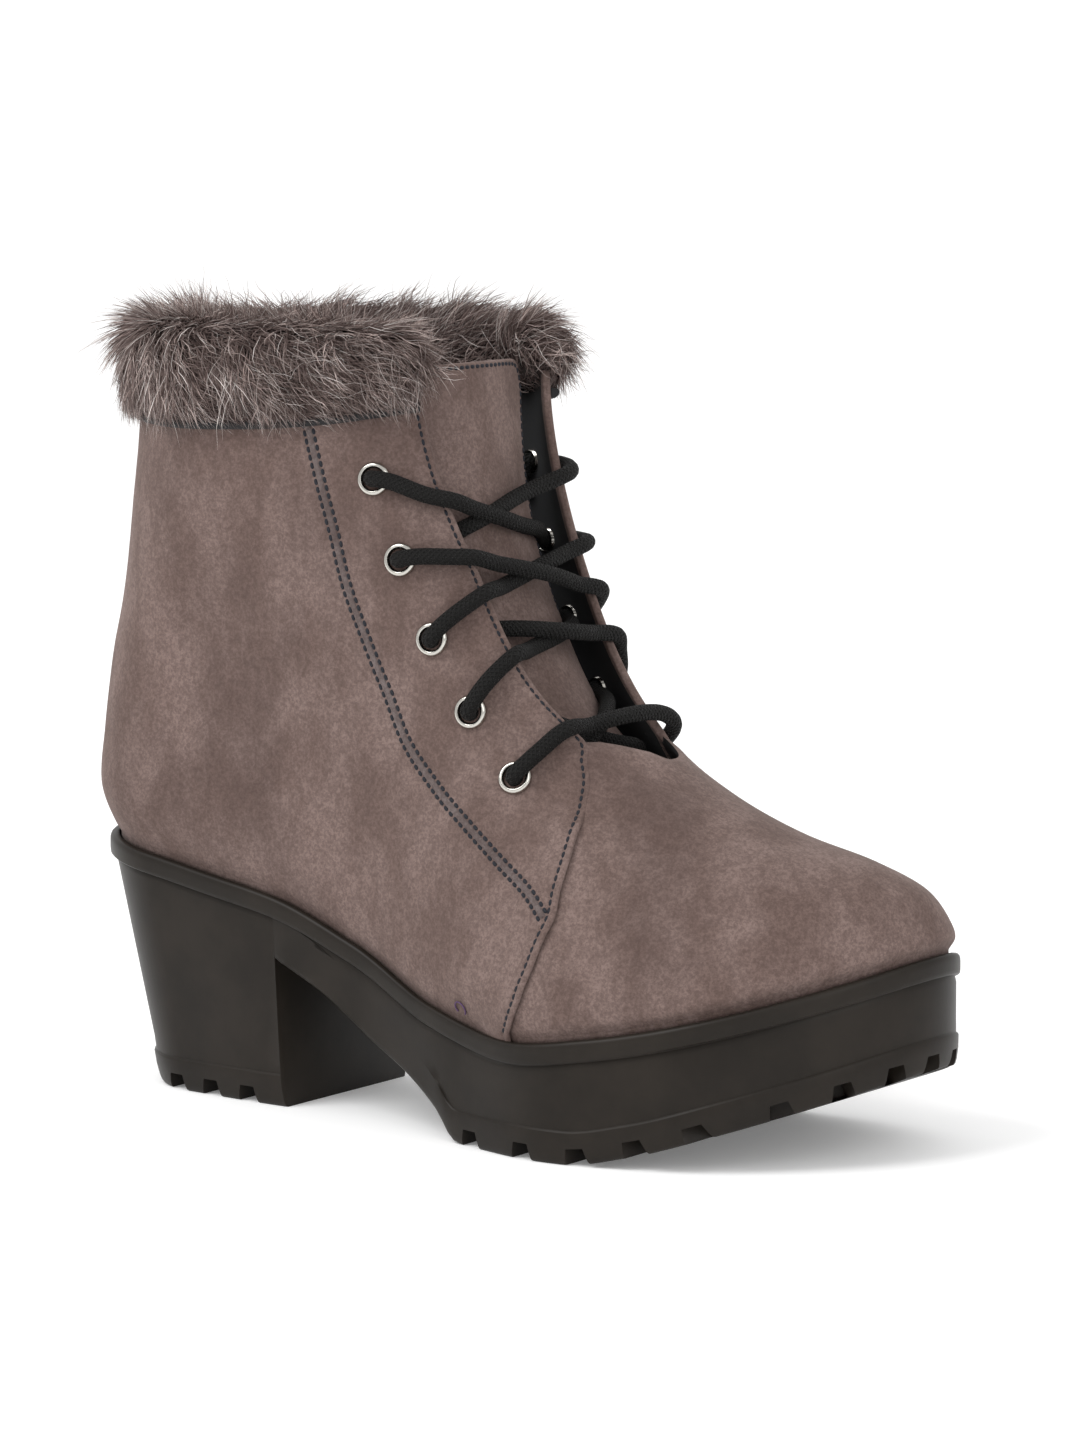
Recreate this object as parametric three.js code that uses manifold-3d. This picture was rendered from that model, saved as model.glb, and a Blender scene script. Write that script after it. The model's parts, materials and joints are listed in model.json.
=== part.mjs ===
// A lace-up snow boot for the right foot, as an assembly of separate pieces. Millimetres, +Z up.
// X runs from heel to toe, +Y is the medial (inner) side and -Y the lateral (outer) side.
// Lengths along the boot are stations: the distance forward of a line just behind the heel.
// The origin lies on the ground under the middle of the heel block, at station HEEL_CENTRE.
import * as THREE from 'three';
import { mergeVertices } from 'three/addons/utils/BufferGeometryUtils.js';
import Module from 'manifold-3d';

const wasm = await Module();
wasm.setup();

// ---- driving sizes ----
const HEEL_CENTRE = 50;      // station of the origin
const SOLE_BACK = 3;         // station of the rim's back
const SOLE_TIP = 250;        // station of the rim's tip
const BREAST = 73.2;         // station of the heel's front face
const WALL = 2.2;            // suede with its lining
const GAP = 0.3;             // between pieces that touch
const FEATHER_GAP = 0.6;     // under the upper's feather edge, where the bed is wavy
const RIM_WALL = 2.2;        // the sole's proud rim
const RIM_HEIGHT = 5.2;
const BED_DEPTH = 3.6;       // how far the upper stands down inside the rim
const INSOLE_THICKNESS = 3;
const LACE_DIAMETER = 4;
const COLLAR_TOP = 190;
const FAR = 300;             // beyond the boot in every direction

// Rim of the sole in plan. centre is the middle line's y, half the half width.
const PLAN = [
  { station: 3, centre: 1.5, half: 27.5 },
  { station: 32, centre: -0.5, half: 28 },
  { station: 60, centre: -1.5, half: 29 },
  { station: 100, centre: -2, half: 30 },
  { station: 140, centre: -2.5, half: 39.5 },
  { station: 172, centre: -2, half: 47 },
  { station: 202, centre: 0.5, half: 44.5 },
  { station: 225, centre: 6, half: 42 },
  { station: 250, centre: 12.5, half: 40 },
];
const HEEL_ROUND = 28;       // length of the plan's round back end
const TOE_ROUND = 47;        // length of its round toe end

// Side profile of the sole: height of the rim's top edge, and of the underside ahead of the heel.
const RIM_TOP = [
  { station: 0, z: 66.5 }, { station: 25, z: 63.5 }, { station: 50, z: 59.5 }, { station: 75, z: 55 },
  { station: 100, z: 46 }, { station: 130, z: 34 }, { station: 160, z: 29 }, { station: 185, z: 32 },
  { station: 215, z: 38.5 }, { station: 240, z: 46.5 }, { station: 252, z: 51.5 },
];
const UNDERSIDE = [
  { station: 73.8, z: 39 }, { station: 90, z: 31.5 }, { station: 107, z: 21 }, { station: 122, z: 14 },
  { station: 133, z: 7 }, { station: 138, z: 1.5 }, { station: 141, z: 0 }, { station: 178, z: 0 },
  { station: 195, z: 3 }, { station: 215, z: 9 }, { station: 235, z: 16 }, { station: 250, z: 22 },
];

// Level courses of the upper's outer face, from the feather edge up. back and front are the course's end
// stations, rear, waist, ball and toe its half widths at FRACTIONS of its length, follow is how far it
// keeps to the rim's wavy line, and the heights are those of its two ends.
const FRACTIONS = { rear: 0.2, waist: 0.4, ball: 0.69, toe: 0.88 };
const COURSES = [
  { zBack: 80, zFront: 59, back: 1.9, front: 247.5, rear: 30, waist: 30.5, ball: 46.3, toe: 38,
    capBack: 28, capFront: 44, centre: 0, follow: 1 },
  { zBack: 95, zFront: 66, back: 3.1, front: 243.5, rear: 30.5, waist: 31, ball: 43, toe: 34.5,
    capBack: 30, capFront: 46, centre: 0, follow: 0.9 },
  { zBack: 107, zFront: 72.5, back: 4.6, front: 232, rear: 30.5, waist: 31, ball: 38, toe: 30,
    capBack: 31, capFront: 48, centre: 0, follow: 0.75 },
  { zBack: 117, zFront: 78, back: 6, front: 214, rear: 30.5, waist: 31, ball: 35, toe: 27,
    capBack: 32, capFront: 46, centre: 0, follow: 0.6 },
  { zBack: 127, zFront: 85.5, back: 8.3, front: 195, rear: 31, waist: 31.5, ball: 32, toe: 25.5,
    capBack: 33, capFront: 42, centre: 0, follow: 0.45 },
  { zBack: 137, zFront: 95, back: 10.3, front: 178, rear: 32, waist: 32.5, ball: 31, toe: 26,
    capBack: 35, capFront: 38, centre: 0, follow: 0.3 },
  { zBack: 147, zFront: 110, back: 12.2, front: 163, rear: 33.5, waist: 34, ball: 32, toe: 28,
    capBack: 37, capFront: 34, centre: 0.5, follow: 0.18 },
  { zBack: 157, zFront: 129, back: 13.8, front: 150, rear: 35, waist: 35.5, ball: 33.5, toe: 30,
    capBack: 39, capFront: 31, centre: 1.5, follow: 0.08 },
  { zBack: 170, zFront: 153, back: 15.6, front: 138, rear: 36.5, waist: 37.5, ball: 35, toe: 32,
    capBack: 42, capFront: 30, centre: 3.5, follow: 0 },
  { zBack: 183, zFront: 177, back: 17, front: 129.5, rear: 38, waist: 39, ball: 36.5, toe: 33.5,
    capBack: 44, capFront: 30, centre: 6.5, follow: 0 },
  { zBack: 198, zFront: 200, back: 18.2, front: 127, rear: 39, waist: 40, ball: 37.5, toe: 34.5,
    capBack: 45, capFront: 30, centre: 8, follow: 0 },
];
const SHAFT_BACK_CENTRE = 1.5;   // y of the shaft's middle line at its back
const RIM_CLEAR = 0.8;       // the face stands straight up to this height over the rim's top
const SWELL_INSET = 1.2;     // then swells to this far inside the rim's edge,
const SWELL_RISE = 4;        // at this height over it
const CAP_STEPS = 6;
const MIDDLE_STEPS = 10;
const COURSE_STEPS = 1.5;    // lofted rows from one course to the next

// ---- helpers for tables ----
function read(table, key, at, value) {
  // a smooth (monotone cubic) reading of one column of a table
  const n = table.length;
  const slope = (i) => (table[i + 1][value] - table[i][value]) / (table[i + 1][key] - table[i][key]);
  if (at <= table[0][key]) return table[0][value];
  if (at >= table[n - 1][key]) return table[n - 1][value];
  let i = 0;
  while (at > table[i + 1][key]) i += 1;
  const tangent = (j) => {
    if (j === 0) return slope(0);
    if (j === n - 1) return slope(n - 2);
    const a = slope(j - 1);
    const b = slope(j);
    return a * b <= 0 ? 0 : (2 * a * b) / (a + b);
  };
  const h = table[i + 1][key] - table[i][key];
  const t = (at - table[i][key]) / h;
  const t2 = t * t;
  const t3 = t2 * t;
  return (2 * t3 - 3 * t2 + 1) * table[i][value] + (t3 - 2 * t2 + t) * h * tangent(i)
    + (3 * t2 - 2 * t3) * table[i + 1][value] + (t3 - t2) * h * tangent(i + 1);
}

const rimTop = (station) => read(RIM_TOP, 'station', station, 'z');
const underside = (station) => read(UNDERSIDE, 'station', station, 'z');
const planCentre = (station) => read(PLAN, 'station', station, 'centre');
const planHalf = (station) => read(PLAN, 'station', station, 'half');
const roundEnd = (u) => (u >= 1 ? 1 : Math.sqrt(Math.max(0, 1 - (1 - u) ** 2)));

// ---- helpers for solids ----
function skin(rings, closed) {
  // a closed body through rings of equal length: closed on itself, or shut at both ends by a ladder of
  // quads between point i and point n - i
  const n = rings[0].length;
  const points = rings.flat();
  const faces = [];
  const quad = (a, b, c, d) => faces.push(a, b, c, a, c, d);
  const last = closed ? rings.length : rings.length - 1;
  for (let j = 0; j < last; j += 1) {
    const here = j * n;
    const next = ((j + 1) % rings.length) * n;
    for (let i = 0; i < n; i += 1) {
      const k = (i + 1) % n;
      quad(here + i, here + k, next + k, next + i);
    }
  }
  if (!closed) {
    const end = (rings.length - 1) * n;
    for (let i = 0; i < n / 2; i += 1) {
      const a = i;
      const b = i + 1;
      const c = (n - i - 1) % n;
      const d = (n - i) % n;
      if (a !== d) faces.push(a, d, c);
      if (b !== c) faces.push(a, c, b);
      if (a !== d) faces.push(end + a, end + c, end + d);
      if (b !== c) faces.push(end + a, end + b, end + c);
    }
  }
  const geometry = new THREE.BufferGeometry();
  const numbers = points.flatMap((p) => [p.x, p.y, p.z]);
  geometry.setAttribute('position', new THREE.Float32BufferAttribute(numbers, 3));
  geometry.setIndex(faces);
  return geometry;
}

function solid(geometry) {
  const bare = geometry.clone();
  bare.deleteAttribute('normal');
  bare.deleteAttribute('uv');
  const merged = mergeVertices(bare, 1e-4);
  const body = new wasm.Manifold(new wasm.Mesh({
    numProp: 3,
    vertProperties: new Float32Array(merged.attributes.position.array),
    triVerts: new Uint32Array(merged.index.array),
  }));
  if (body.volume() < 0) throw new Error('a body is inside out');
  return body;
}

function largest(body) {
  // a cut can leave a sliver beside the piece itself
  return body.decompose().reduce((best, part) => (part.volume() > best.volume() ? part : best));
}

function geometryOf(body) {
  const { vertProperties, triVerts } = body.getMesh();
  const geometry = new THREE.BufferGeometry();
  geometry.setAttribute('position', new THREE.BufferAttribute(new Float32Array(vertProperties), 3));
  geometry.setIndex(new THREE.BufferAttribute(new Uint32Array(triVerts), 1));
  return geometry;
}

// ---- loops round the boot ----
// A loop runs from the back's middle along the lateral side to the toe, and back along the medial side.
function evenStations(back, front, capBack, capFront) {
  const stations = [];
  for (let i = 0; i < CAP_STEPS; i += 1) {
    stations.push(back + capBack * (1 - Math.cos((i / CAP_STEPS) * Math.PI / 2)));
  }
  for (let i = 0; i <= MIDDLE_STEPS; i += 1) {
    const t = i / MIDDLE_STEPS;
    stations.push(THREE.MathUtils.lerp(back + capBack, front - capFront, t));
  }
  for (let i = CAP_STEPS - 1; i >= 0; i -= 1) {
    stations.push(front - capFront * (1 - Math.cos((i / CAP_STEPS) * Math.PI / 2)));
  }
  return stations;
}

function loopOf(stations, pointAt) {
  const last = stations.length - 1;
  const lateral = stations.map((s) => pointAt(s, -1));
  const medial = stations.slice(1, last).reverse().map((s) => pointAt(s, 1));
  return [...lateral, ...medial];
}

function rimLoop(stations, inset, zAt) {
  // the sole's plan outline, drawn in by inset, its stations squeezed to the shorter length
  const scale = (SOLE_TIP - SOLE_BACK - 2 * inset) / (SOLE_TIP - SOLE_BACK);
  return loopOf(stations, (s, side) => {
    const round = roundEnd((s - SOLE_BACK) / HEEL_ROUND) * roundEnd((SOLE_TIP - s) / TOE_ROUND);
    const x = SOLE_BACK + inset + (s - SOLE_BACK) * scale;
    const y = planCentre(s) + side * Math.max(0, planHalf(s) - inset) * round;
    return new THREE.Vector3(x, y, zAt(s));
  });
}

// ---- sole unit ----
const HEEL_LEAN = 0.0027;    // how far the heel closes in on its breast, per mm down
const HEEL_WAIST = 0.06;     // and how much of that comes just under the rim
const HEEL_TAPER = 0.0016;   // how far it narrows, per mm down
const BAND_HEIGHT = 8;       // lug band round the bottom
const ARCH_STEP = 0.6;       // the breast's face runs back to front over this length
const BREAST_FLARE = 2.6;    // and comes forward this much on its way down
const ARCH_END = 134;

function soleStations() {
  const stations = evenStations(SOLE_BACK, SOLE_TIP, HEEL_ROUND, TOE_ROUND);
  const ends = stations.filter((s) => s < SOLE_BACK + HEEL_ROUND + 1 || s > SOLE_TIP - TOE_ROUND - 1);
  const block = [43, 55, 66, BREAST, BREAST + ARCH_STEP];
  const arch = [90, 100, 110, 118, 126, 133];
  const platform = [138, 141, 150, 160, 170, 179, 190];
  return [...ends, ...block, ...arch, ...platform].sort((a, b) => a - b);
}

function bottomAt(station) {
  return station <= BREAST ? 0 : underside(station);
}

function soleRow(stations, rowInset, heightAt) {
  // one row of the unit's side; below the rim the heel block leans in toward its breast
  return loopOf(stations, (s, side) => {
    const inArch = s > BREAST && s < ARCH_END && rowInset < SIDE_INSET;
    const inset = inArch && heightAt(s) < rimTop(s) - RIM_HEIGHT ? SIDE_INSET : rowInset;
    const round = roundEnd((s - SOLE_BACK) / HEEL_ROUND) * roundEnd((SOLE_TIP - s) / TOE_ROUND);
    const z = heightAt(s);
    const scale = (SOLE_TIP - SOLE_BACK - 2 * inset) / (SOLE_TIP - SOLE_BACK);
    let x = SOLE_BACK + inset + (s - SOLE_BACK) * scale;
    let half = (planHalf(s) - inset) * round;
    if (s <= BREAST + ARCH_STEP) {
      const down = Math.max(0, rimTop(s) - RIM_HEIGHT - z);
      const undercut = HEEL_WAIST * Math.min(1, down / 10);
      x = BREAST - (BREAST - x) * (1 - HEEL_LEAN * down - undercut);
      half *= 1 - HEEL_TAPER * down;
      if (s >= BREAST) x += BREAST_FLARE * Math.max(0, 1 - z / underside(BREAST));
    }
    return new THREE.Vector3(x, planCentre(s) + side * half, z);
  });
}

const SIDE_INSET = 1;        // the platform's side, in from the rim's edge
const SOLE_ROWS = [
  // inset from the rim's edge, drop below the rim's top, or rise above the bottom edge
  { inset: RIM_WALL, drop: BED_DEPTH },
  { inset: RIM_WALL, drop: 0.3 },
  { inset: 1.5, drop: 0 },
  { inset: 0.3, drop: 0.6 },
  { inset: 0, drop: 2 },
  { inset: 0.1, drop: RIM_HEIGHT },
  { inset: 1.2, drop: RIM_HEIGHT + 0.5 },
  { inset: 1.0, drop: RIM_HEIGHT + 1.6 },
  { inset: 0.9, rise: BAND_HEIGHT + 0.6 },
  { inset: 0.3, rise: BAND_HEIGHT },
  { inset: 1.0, rise: 0.8 },
  { inset: 1.8, rise: 0 },
];

const NOTCH = { mouth: 5.8, root: 3.4, depth: 2.8, below: 1.5, length: 17, outside: 6 };
const HEEL_NOTCH_Y = 26;     // from the block's middle line
const TOE_NOTCH_Y = 40;      // half the width of the arc the toe's notches lie on
const TOE_NOTCH_PITCH = 0.3;
const HEEL_NOTCHES = [38, 50.5, 63.5];
const TREAD_NOTCHES = [146, 165, 181.5, 197, 212];
const TOE_NOTCH_ANGLES = [-57, -39, -21, -4, 14, 32, 50];

function notchCutter(x, y, z, heading, pitch) {
  // a tapered slot from the side, running inward; heading is the way in, pitch the tilt of the tread
  const shape = new THREE.Shape();
  shape.moveTo(-NOTCH.mouth / 2, -NOTCH.below);
  shape.lineTo(NOTCH.mouth / 2, -NOTCH.below);
  shape.lineTo(NOTCH.root / 2, NOTCH.depth);
  shape.lineTo(-NOTCH.root / 2, NOTCH.depth);
  shape.closePath();
  const geometry = new THREE.ExtrudeGeometry(shape, { depth: NOTCH.length, bevelEnabled: false });
  // shape x runs along the side, shape y up, and the extrusion inward
  const inward = new THREE.Vector3(Math.cos(heading), Math.sin(heading), 0);
  const up = new THREE.Vector3(-Math.sin(pitch), 0, Math.cos(pitch));
  const along = new THREE.Vector3().crossVectors(up, inward).normalize();
  const rise = new THREE.Vector3().crossVectors(inward, along).normalize();
  const place = new THREE.Matrix4().makeBasis(along, rise, inward);
  const start = new THREE.Vector3(x, y, z).addScaledVector(inward, -NOTCH.outside);
  place.setPosition(start);
  return solid(geometry.applyMatrix4(place));
}

function notches() {
  const cutters = [];
  const half = (s) => planHalf(s) * roundEnd((SOLE_TIP - s) / TOE_ROUND);
  for (const side of [-1, 1]) {
    const inward = -side * Math.PI / 2;
    for (const s of HEEL_NOTCHES) {
      cutters.push(notchCutter(s, planCentre(s) + side * HEEL_NOTCH_Y, 0, inward, 0));
    }
    for (const s of TREAD_NOTCHES) {
      const z = underside(s);
      const pitch = Math.atan2(underside(s + 2) - underside(s - 2), 4);
      cutters.push(notchCutter(s, planCentre(s) + side * half(s), z, inward, pitch));
    }
  }
  for (const degrees of TOE_NOTCH_ANGLES) {
    const angle = THREE.MathUtils.degToRad(degrees);
    const x = SOLE_TIP - TOE_ROUND + TOE_ROUND * Math.cos(angle);
    const y = planCentre(x) + TOE_NOTCH_Y * Math.sin(angle);
    cutters.push(notchCutter(x, y, underside(x), angle + Math.PI, TOE_NOTCH_PITCH));
  }
  return cutters;
}

function soleUnit() {
  const stations = soleStations();
  const rows = SOLE_ROWS.map(({ inset, drop, rise }) => soleRow(stations, inset, (s) => (
    drop === undefined ? bottomAt(s) + rise : rimTop(s) - drop)));
  let body = solid(skin(rows.reverse(), false));
  for (const cutter of notches()) body = body.subtract(cutter);
  return body;
}

// ---- upper's outer face ----
function courseHalf(course, fraction) {
  const keys = Object.keys(FRACTIONS);
  const table = keys.map((key) => ({ fraction: FRACTIONS[key], half: course[key] }));
  return read(table, 'fraction', fraction, 'half');
}

function courseLoop(course) {
  const { back, front, capBack, capFront, follow, zBack, zFront } = course;
  const length = front - back;
  const stations = evenStations(back, front, capBack, capFront);
  const start = zBack - follow * rimTop(back);
  const end = zFront - follow * rimTop(front);
  return loopOf(stations, (s, side) => {
    const t = (s - back) / length;
    const round = roundEnd((s - back) / capBack) * roundEnd((front - s) / capFront);
    const shaftCentre = THREE.MathUtils.lerp(SHAFT_BACK_CENTRE, course.centre, t);
    const centre = THREE.MathUtils.lerp(shaftCentre, planCentre(s), follow);
    const z = follow * rimTop(s) + THREE.MathUtils.lerp(start, end, t);
    return new THREE.Vector3(s, centre + side * courseHalf(course, t) * round, z);
  });
}

function featherLoop(inset, rise) {
  return rimLoop(evenStations(SOLE_BACK, SOLE_TIP, HEEL_ROUND, TOE_ROUND), inset, (s) => rimTop(s) + rise);
}

function faceRows() {
  // rows of the outer face: three in and just above the rim, then the courses
  const feather = RIM_WALL + 2 * GAP;
  const inRim = [featherLoop(feather, FEATHER_GAP - BED_DEPTH), featherLoop(feather, RIM_CLEAR)];
  return [...inRim, featherLoop(SWELL_INSET, SWELL_RISE), ...COURSES.map(courseLoop)];
}

function loft(rows) {
  // rows at even steps along a smooth curve up each column, the two in the rim left as they are
  const count = Math.round((rows.length - 2) * COURSE_STEPS);
  const columns = rows[0].map((_, i) => {
    const curve = new THREE.CatmullRomCurve3(rows.slice(1).map((row) => row[i]), false, 'centripetal');
    return Array.from({ length: count + 1 }, (__, j) => curve.getPoint(j / count));
  });
  const lofted = Array.from({ length: count + 1 }, (_, j) => columns.map((column) => column[j]));
  return [rows[0], ...lofted];
}

function inwardOffset(rows, distance) {
  // each point moved inward along the face's normal
  const n = rows[0].length;
  return rows.map((row, j) => row.map((point, i) => {
    const below = rows[Math.max(0, j - 1)][i];
    const above = rows[Math.min(rows.length - 1, j + 1)][i];
    const before = row[(i + n - 1) % n];
    const after = row[(i + 1) % n];
    const up = above.clone().sub(below);
    const along = after.clone().sub(before);
    const normal = along.cross(up).normalize();
    return point.clone().addScaledVector(normal, -distance);
  }));
}

const FACE = loft(faceRows());

function cutAtCollar(rows) {
  // the face is drawn a little above the collar; rows over it come down to it
  const kept = [];
  for (const row of rows) {
    kept.push(row);
    if (row.every((p) => p.z >= COLLAR_TOP)) break;
  }
  return kept;
}

function boxCutter(minimum, maximum) {
  const size = maximum.clone().sub(minimum);
  const geometry = new THREE.BoxGeometry(size.x, size.y, size.z);
  geometry.translate(minimum.x + size.x / 2, minimum.y + size.y / 2, minimum.z + size.z / 2);
  return solid(geometry);
}

// The throat: the gap between the two facings, drawn on a plane square to the instep line.
const THROAT_LINE = { foot: [168, 97], top: [121, 193] };
const THROAT = [
  // rise up the instep line from the vamp's edge, y of the lateral and medial facing edges
  { rise: -2, lateral: -9, medial: 12 },
  { rise: 1, lateral: -16, medial: 18 },
  { rise: 12, lateral: -18, medial: 21 },
  { rise: 40, lateral: -20, medial: 24 },
  { rise: 85, lateral: -21, medial: 26.5 },
  { rise: 130, lateral: -21.5, medial: 29 },
];

function instepFrame() {
  const foot = new THREE.Vector3(THROAT_LINE.foot[0], 0, THROAT_LINE.foot[1]);
  const top = new THREE.Vector3(THROAT_LINE.top[0], 0, THROAT_LINE.top[1]);
  const up = top.clone().sub(foot).normalize();
  const across = new THREE.Vector3(0, 1, 0);
  const out = new THREE.Vector3().crossVectors(across, up);
  return { foot, up, across, out };
}

function throatCutter() {
  const { foot, up, across, out } = instepFrame();
  const shape = new THREE.Shape();
  const lateral = THROAT.map(({ rise, lateral: y }) => new THREE.Vector2(y, rise));
  const medial = THROAT.map(({ rise, medial: y }) => new THREE.Vector2(y, rise)).reverse();
  shape.setFromPoints([...lateral, ...medial]);
  const geometry = new THREE.ExtrudeGeometry(shape, { depth: 60, bevelEnabled: false });
  const place = new THREE.Matrix4().makeBasis(across, up, out);
  place.setPosition(foot.clone().addScaledVector(out, -22));
  return solid(geometry.applyMatrix4(place));
}

const FACE_ROWS = cutAtCollar(FACE);

function plug(distance) {
  // the room inside the face, drawn in by a distance and closed at both ends
  return solid(skin(inwardOffset(FACE, distance), false));
}

const EDGE_SLACK = 1e-6;     // a point this far outside a triangle still counts as on it

function faceTriangles(first, last) {
  // the outer face's triangles above the rim, over a range of columns
  const triangles = [];
  const n = FACE[0].length;
  for (let j = 1; j < FACE.length - 1; j += 1) {
    for (let i = first; i < last; i += 1) {
      const k = (i + 1) % n;
      triangles.push([FACE[j][i], FACE[j][k], FACE[j + 1][k]]);
      triangles.push([FACE[j][i], FACE[j + 1][k], FACE[j + 1][i]]);
    }
  }
  return triangles;
}

function pointOver(corners, axis, value, height) {
  // the point of a triangle at a value along one level axis and at a height, if it has one
  const flat = corners.map((p) => new THREE.Vector3(p[axis], p.z, 0));
  const weights = new THREE.Vector3();
  THREE.Triangle.getBarycoord(new THREE.Vector3(value, height, 0), ...flat, weights);
  if (Math.min(weights.x, weights.y, weights.z) < -EDGE_SLACK) return null;
  const point = new THREE.Vector3();
  corners.forEach((p, c) => point.addScaledVector(p, weights.getComponent(c)));
  return point;
}

function wallPoint(side, station, height) {
  // where a line across the boot meets the outer face, and the face's outward normal there
  const n = FACE[0].length;
  const triangles = side < 0 ? faceTriangles(0, n / 2) : faceTriangles(n / 2, n);
  for (const corners of triangles) {
    const point = pointOver(corners, 'x', station, height);
    if (point) {
      const normal = new THREE.Vector3();
      new THREE.Triangle(...corners).getNormal(normal);
      if (normal.y * side < 0) normal.negate();
      return { point, normal };
    }
  }
  throw new Error(`no wall at station ${station}, height ${height}`);
}

// ---- eyelets ----
const EYELETS = [
  // from the collar down, as stations and heights on either side
  { station: 108.7, z: 165 },
  { station: 116.9, z: 145 },
  { station: 126.5, z: 125.5 },
  { station: 138, z: 108 },
  { station: 152, z: 93 },
];
const EYELET = { hole: 2.75, barrel: 3.15, flange: 4.2, thickness: 0.9, back: 3.8, lift: 0.7 };
const BORE = 3.5;
const EYELET_SIDES = 10;

function eyeletFrame(side, row) {
  const { station, z } = EYELETS[row];
  const { point, normal } = wallPoint(side, station, z);
  const turn = new THREE.Quaternion().setFromUnitVectors(new THREE.Vector3(0, 1, 0), normal);
  return new THREE.Matrix4().compose(point, turn, new THREE.Vector3(1, 1, 1));
}

function boreCutter(side, row) {
  const geometry = new THREE.CylinderGeometry(BORE, BORE, 12, EYELET_SIDES);
  return solid(geometry.applyMatrix4(eyeletFrame(side, row)));
}

function eyelet(side, row) {
  // one rolled ring, outside flange, barrel and inside flange; lathed about the bore's axis
  const { hole, barrel, flange, thickness, back, lift } = EYELET;
  const inside = -WALL - lift;
  const profile = [
    [hole, inside - thickness / 2], [back, inside - thickness / 2], [back, inside], [barrel, inside],
    [barrel, lift], [flange, lift], [hole + 0.5, lift + thickness], [hole, inside - thickness / 2],
  ].map(([x, y]) => new THREE.Vector2(x, y));
  return solid(new THREE.LatheGeometry(profile, EYELET_SIDES).applyMatrix4(eyeletFrame(side, row)));
}

// ---- upper ----
function upper() {
  const inner = inwardOffset(FACE_ROWS, WALL);
  const n = FACE_ROWS[0].length;
  const columns = Array.from({ length: n }, (_, i) => [
    ...FACE_ROWS.map((row) => row[i]),
    ...inner.map((row) => row[i]).reverse(),
  ]);
  let body = solid(skin(columns.reverse(), true));
  const over = boxCutter(new THREE.Vector3(-FAR, -FAR, COLLAR_TOP), new THREE.Vector3(FAR, FAR, FAR));
  body = body.subtract(over).subtract(throatCutter());
  for (const side of [-1, 1]) {
    for (let row = 0; row < EYELETS.length; row += 1) body = body.subtract(boreCutter(side, row));
  }
  return body;
}

// ---- insole ----
function insole() {
  const stations = evenStations(SOLE_BACK, SOLE_TIP, HEEL_ROUND, TOE_ROUND);
  const inset = RIM_WALL + WALL + 4 * GAP;
  const bottom = rimLoop(stations, inset, (s) => rimTop(s) - BED_DEPTH + GAP);
  const top = rimLoop(stations, inset, (s) => rimTop(s) - BED_DEPTH + GAP + INSOLE_THICKNESS);
  return solid(skin([bottom, top], false));
}

// ---- tongue ----
const TONGUE_THICKNESS = 2.4;
const TONGUE_CLEARANCE = 1.9;  // it lies inside the eyelets' inner flanges
const TONGUE = [
  // the middle's station and height, half width, y of the middle, and how far its edges lie back
  { station: 184, z: 84.5, half: 17, centre: 0, bow: 4.5 },
  { station: 172, z: 89.5, half: 20, centre: 0, bow: 6 },
  { station: 160, z: 96, half: 23, centre: -1, bow: 7 },
  { station: 148.5, z: 106.5, half: 24, centre: -2, bow: 7 },
  { station: 138, z: 123, half: 24, centre: -2.5, bow: 6.5 },
  { station: 128.5, z: 144, half: 24, centre: -3, bow: 6 },
  { station: 121.5, z: 166, half: 24, centre: -1, bow: 5.5 },
  { station: 118.5, z: 184, half: 24, centre: 1, bow: 5 },
  { station: 117.5, z: 190.5, half: 22.5, centre: 1.5, bow: 4.4 },
  { station: 117.2, z: 193, half: 19, centre: 1.5, bow: 3 },
];
const TONGUE_COLUMNS = 10;

function tongueRing(index) {
  const { station, z, half, centre, bow } = TONGUE[index];
  const below = TONGUE[Math.max(0, index - 1)];
  const above = TONGUE[Math.min(TONGUE.length - 1, index + 1)];
  const up = new THREE.Vector3(above.station - below.station, 0, above.z - below.z).normalize();
  const out = new THREE.Vector3(up.z, 0, -up.x);
  const middle = new THREE.Vector3(station, centre, z);
  const at = (u, depth) => middle.clone()
    .add(new THREE.Vector3(0, u * half, 0))
    .addScaledVector(out, -bow * u * u - depth);
  const across = Array.from({ length: TONGUE_COLUMNS + 1 }, (_, i) => (2 * i) / TONGUE_COLUMNS - 1);
  const front = across.map((u) => at(u, 0));
  const back = across.map((u) => at(u, TONGUE_THICKNESS)).reverse();
  return [...front, ...back];
}

function tongue() {
  const sheet = solid(skin(TONGUE.map((_, i) => tongueRing(i)), false));
  return largest(sheet.intersect(plug(WALL + TONGUE_CLEARANCE)));
}

// ---- fur cuff ----
const CUFF_TOP = 203;
const CUFF_HEIGHT = 25.5;    // of the section below
const ON_COLLAR = 13.5;      // section points at this height lie on the collar's edge
const FACE_LIMIT = 196;      // the outer face is read no higher than this
const CUFF = [
  // the pile's section, from the outer lower edge over the collar to the inner one: offset out from the
  // outer face and height above the lower edge
  { out: 0.3, rise: 0 }, { out: 2.6, rise: 0.4 }, { out: 4.8, rise: 4.5 }, { out: 5.8, rise: 11 },
  { out: 5.4, rise: 17.5 }, { out: 3.6, rise: 22.5 }, { out: 0.8, rise: CUFF_HEIGHT },
  { out: -3, rise: CUFF_HEIGHT },
  { out: -6, rise: 22.5 }, { out: -7.4, rise: 17 }, { out: -7, rise: 10 }, { out: -5.2, rise: 6 },
  { out: -2.5, rise: 5.4 }, { out: -2.5, rise: ON_COLLAR }, { out: 0.3, rise: ON_COLLAR },
];
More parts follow.
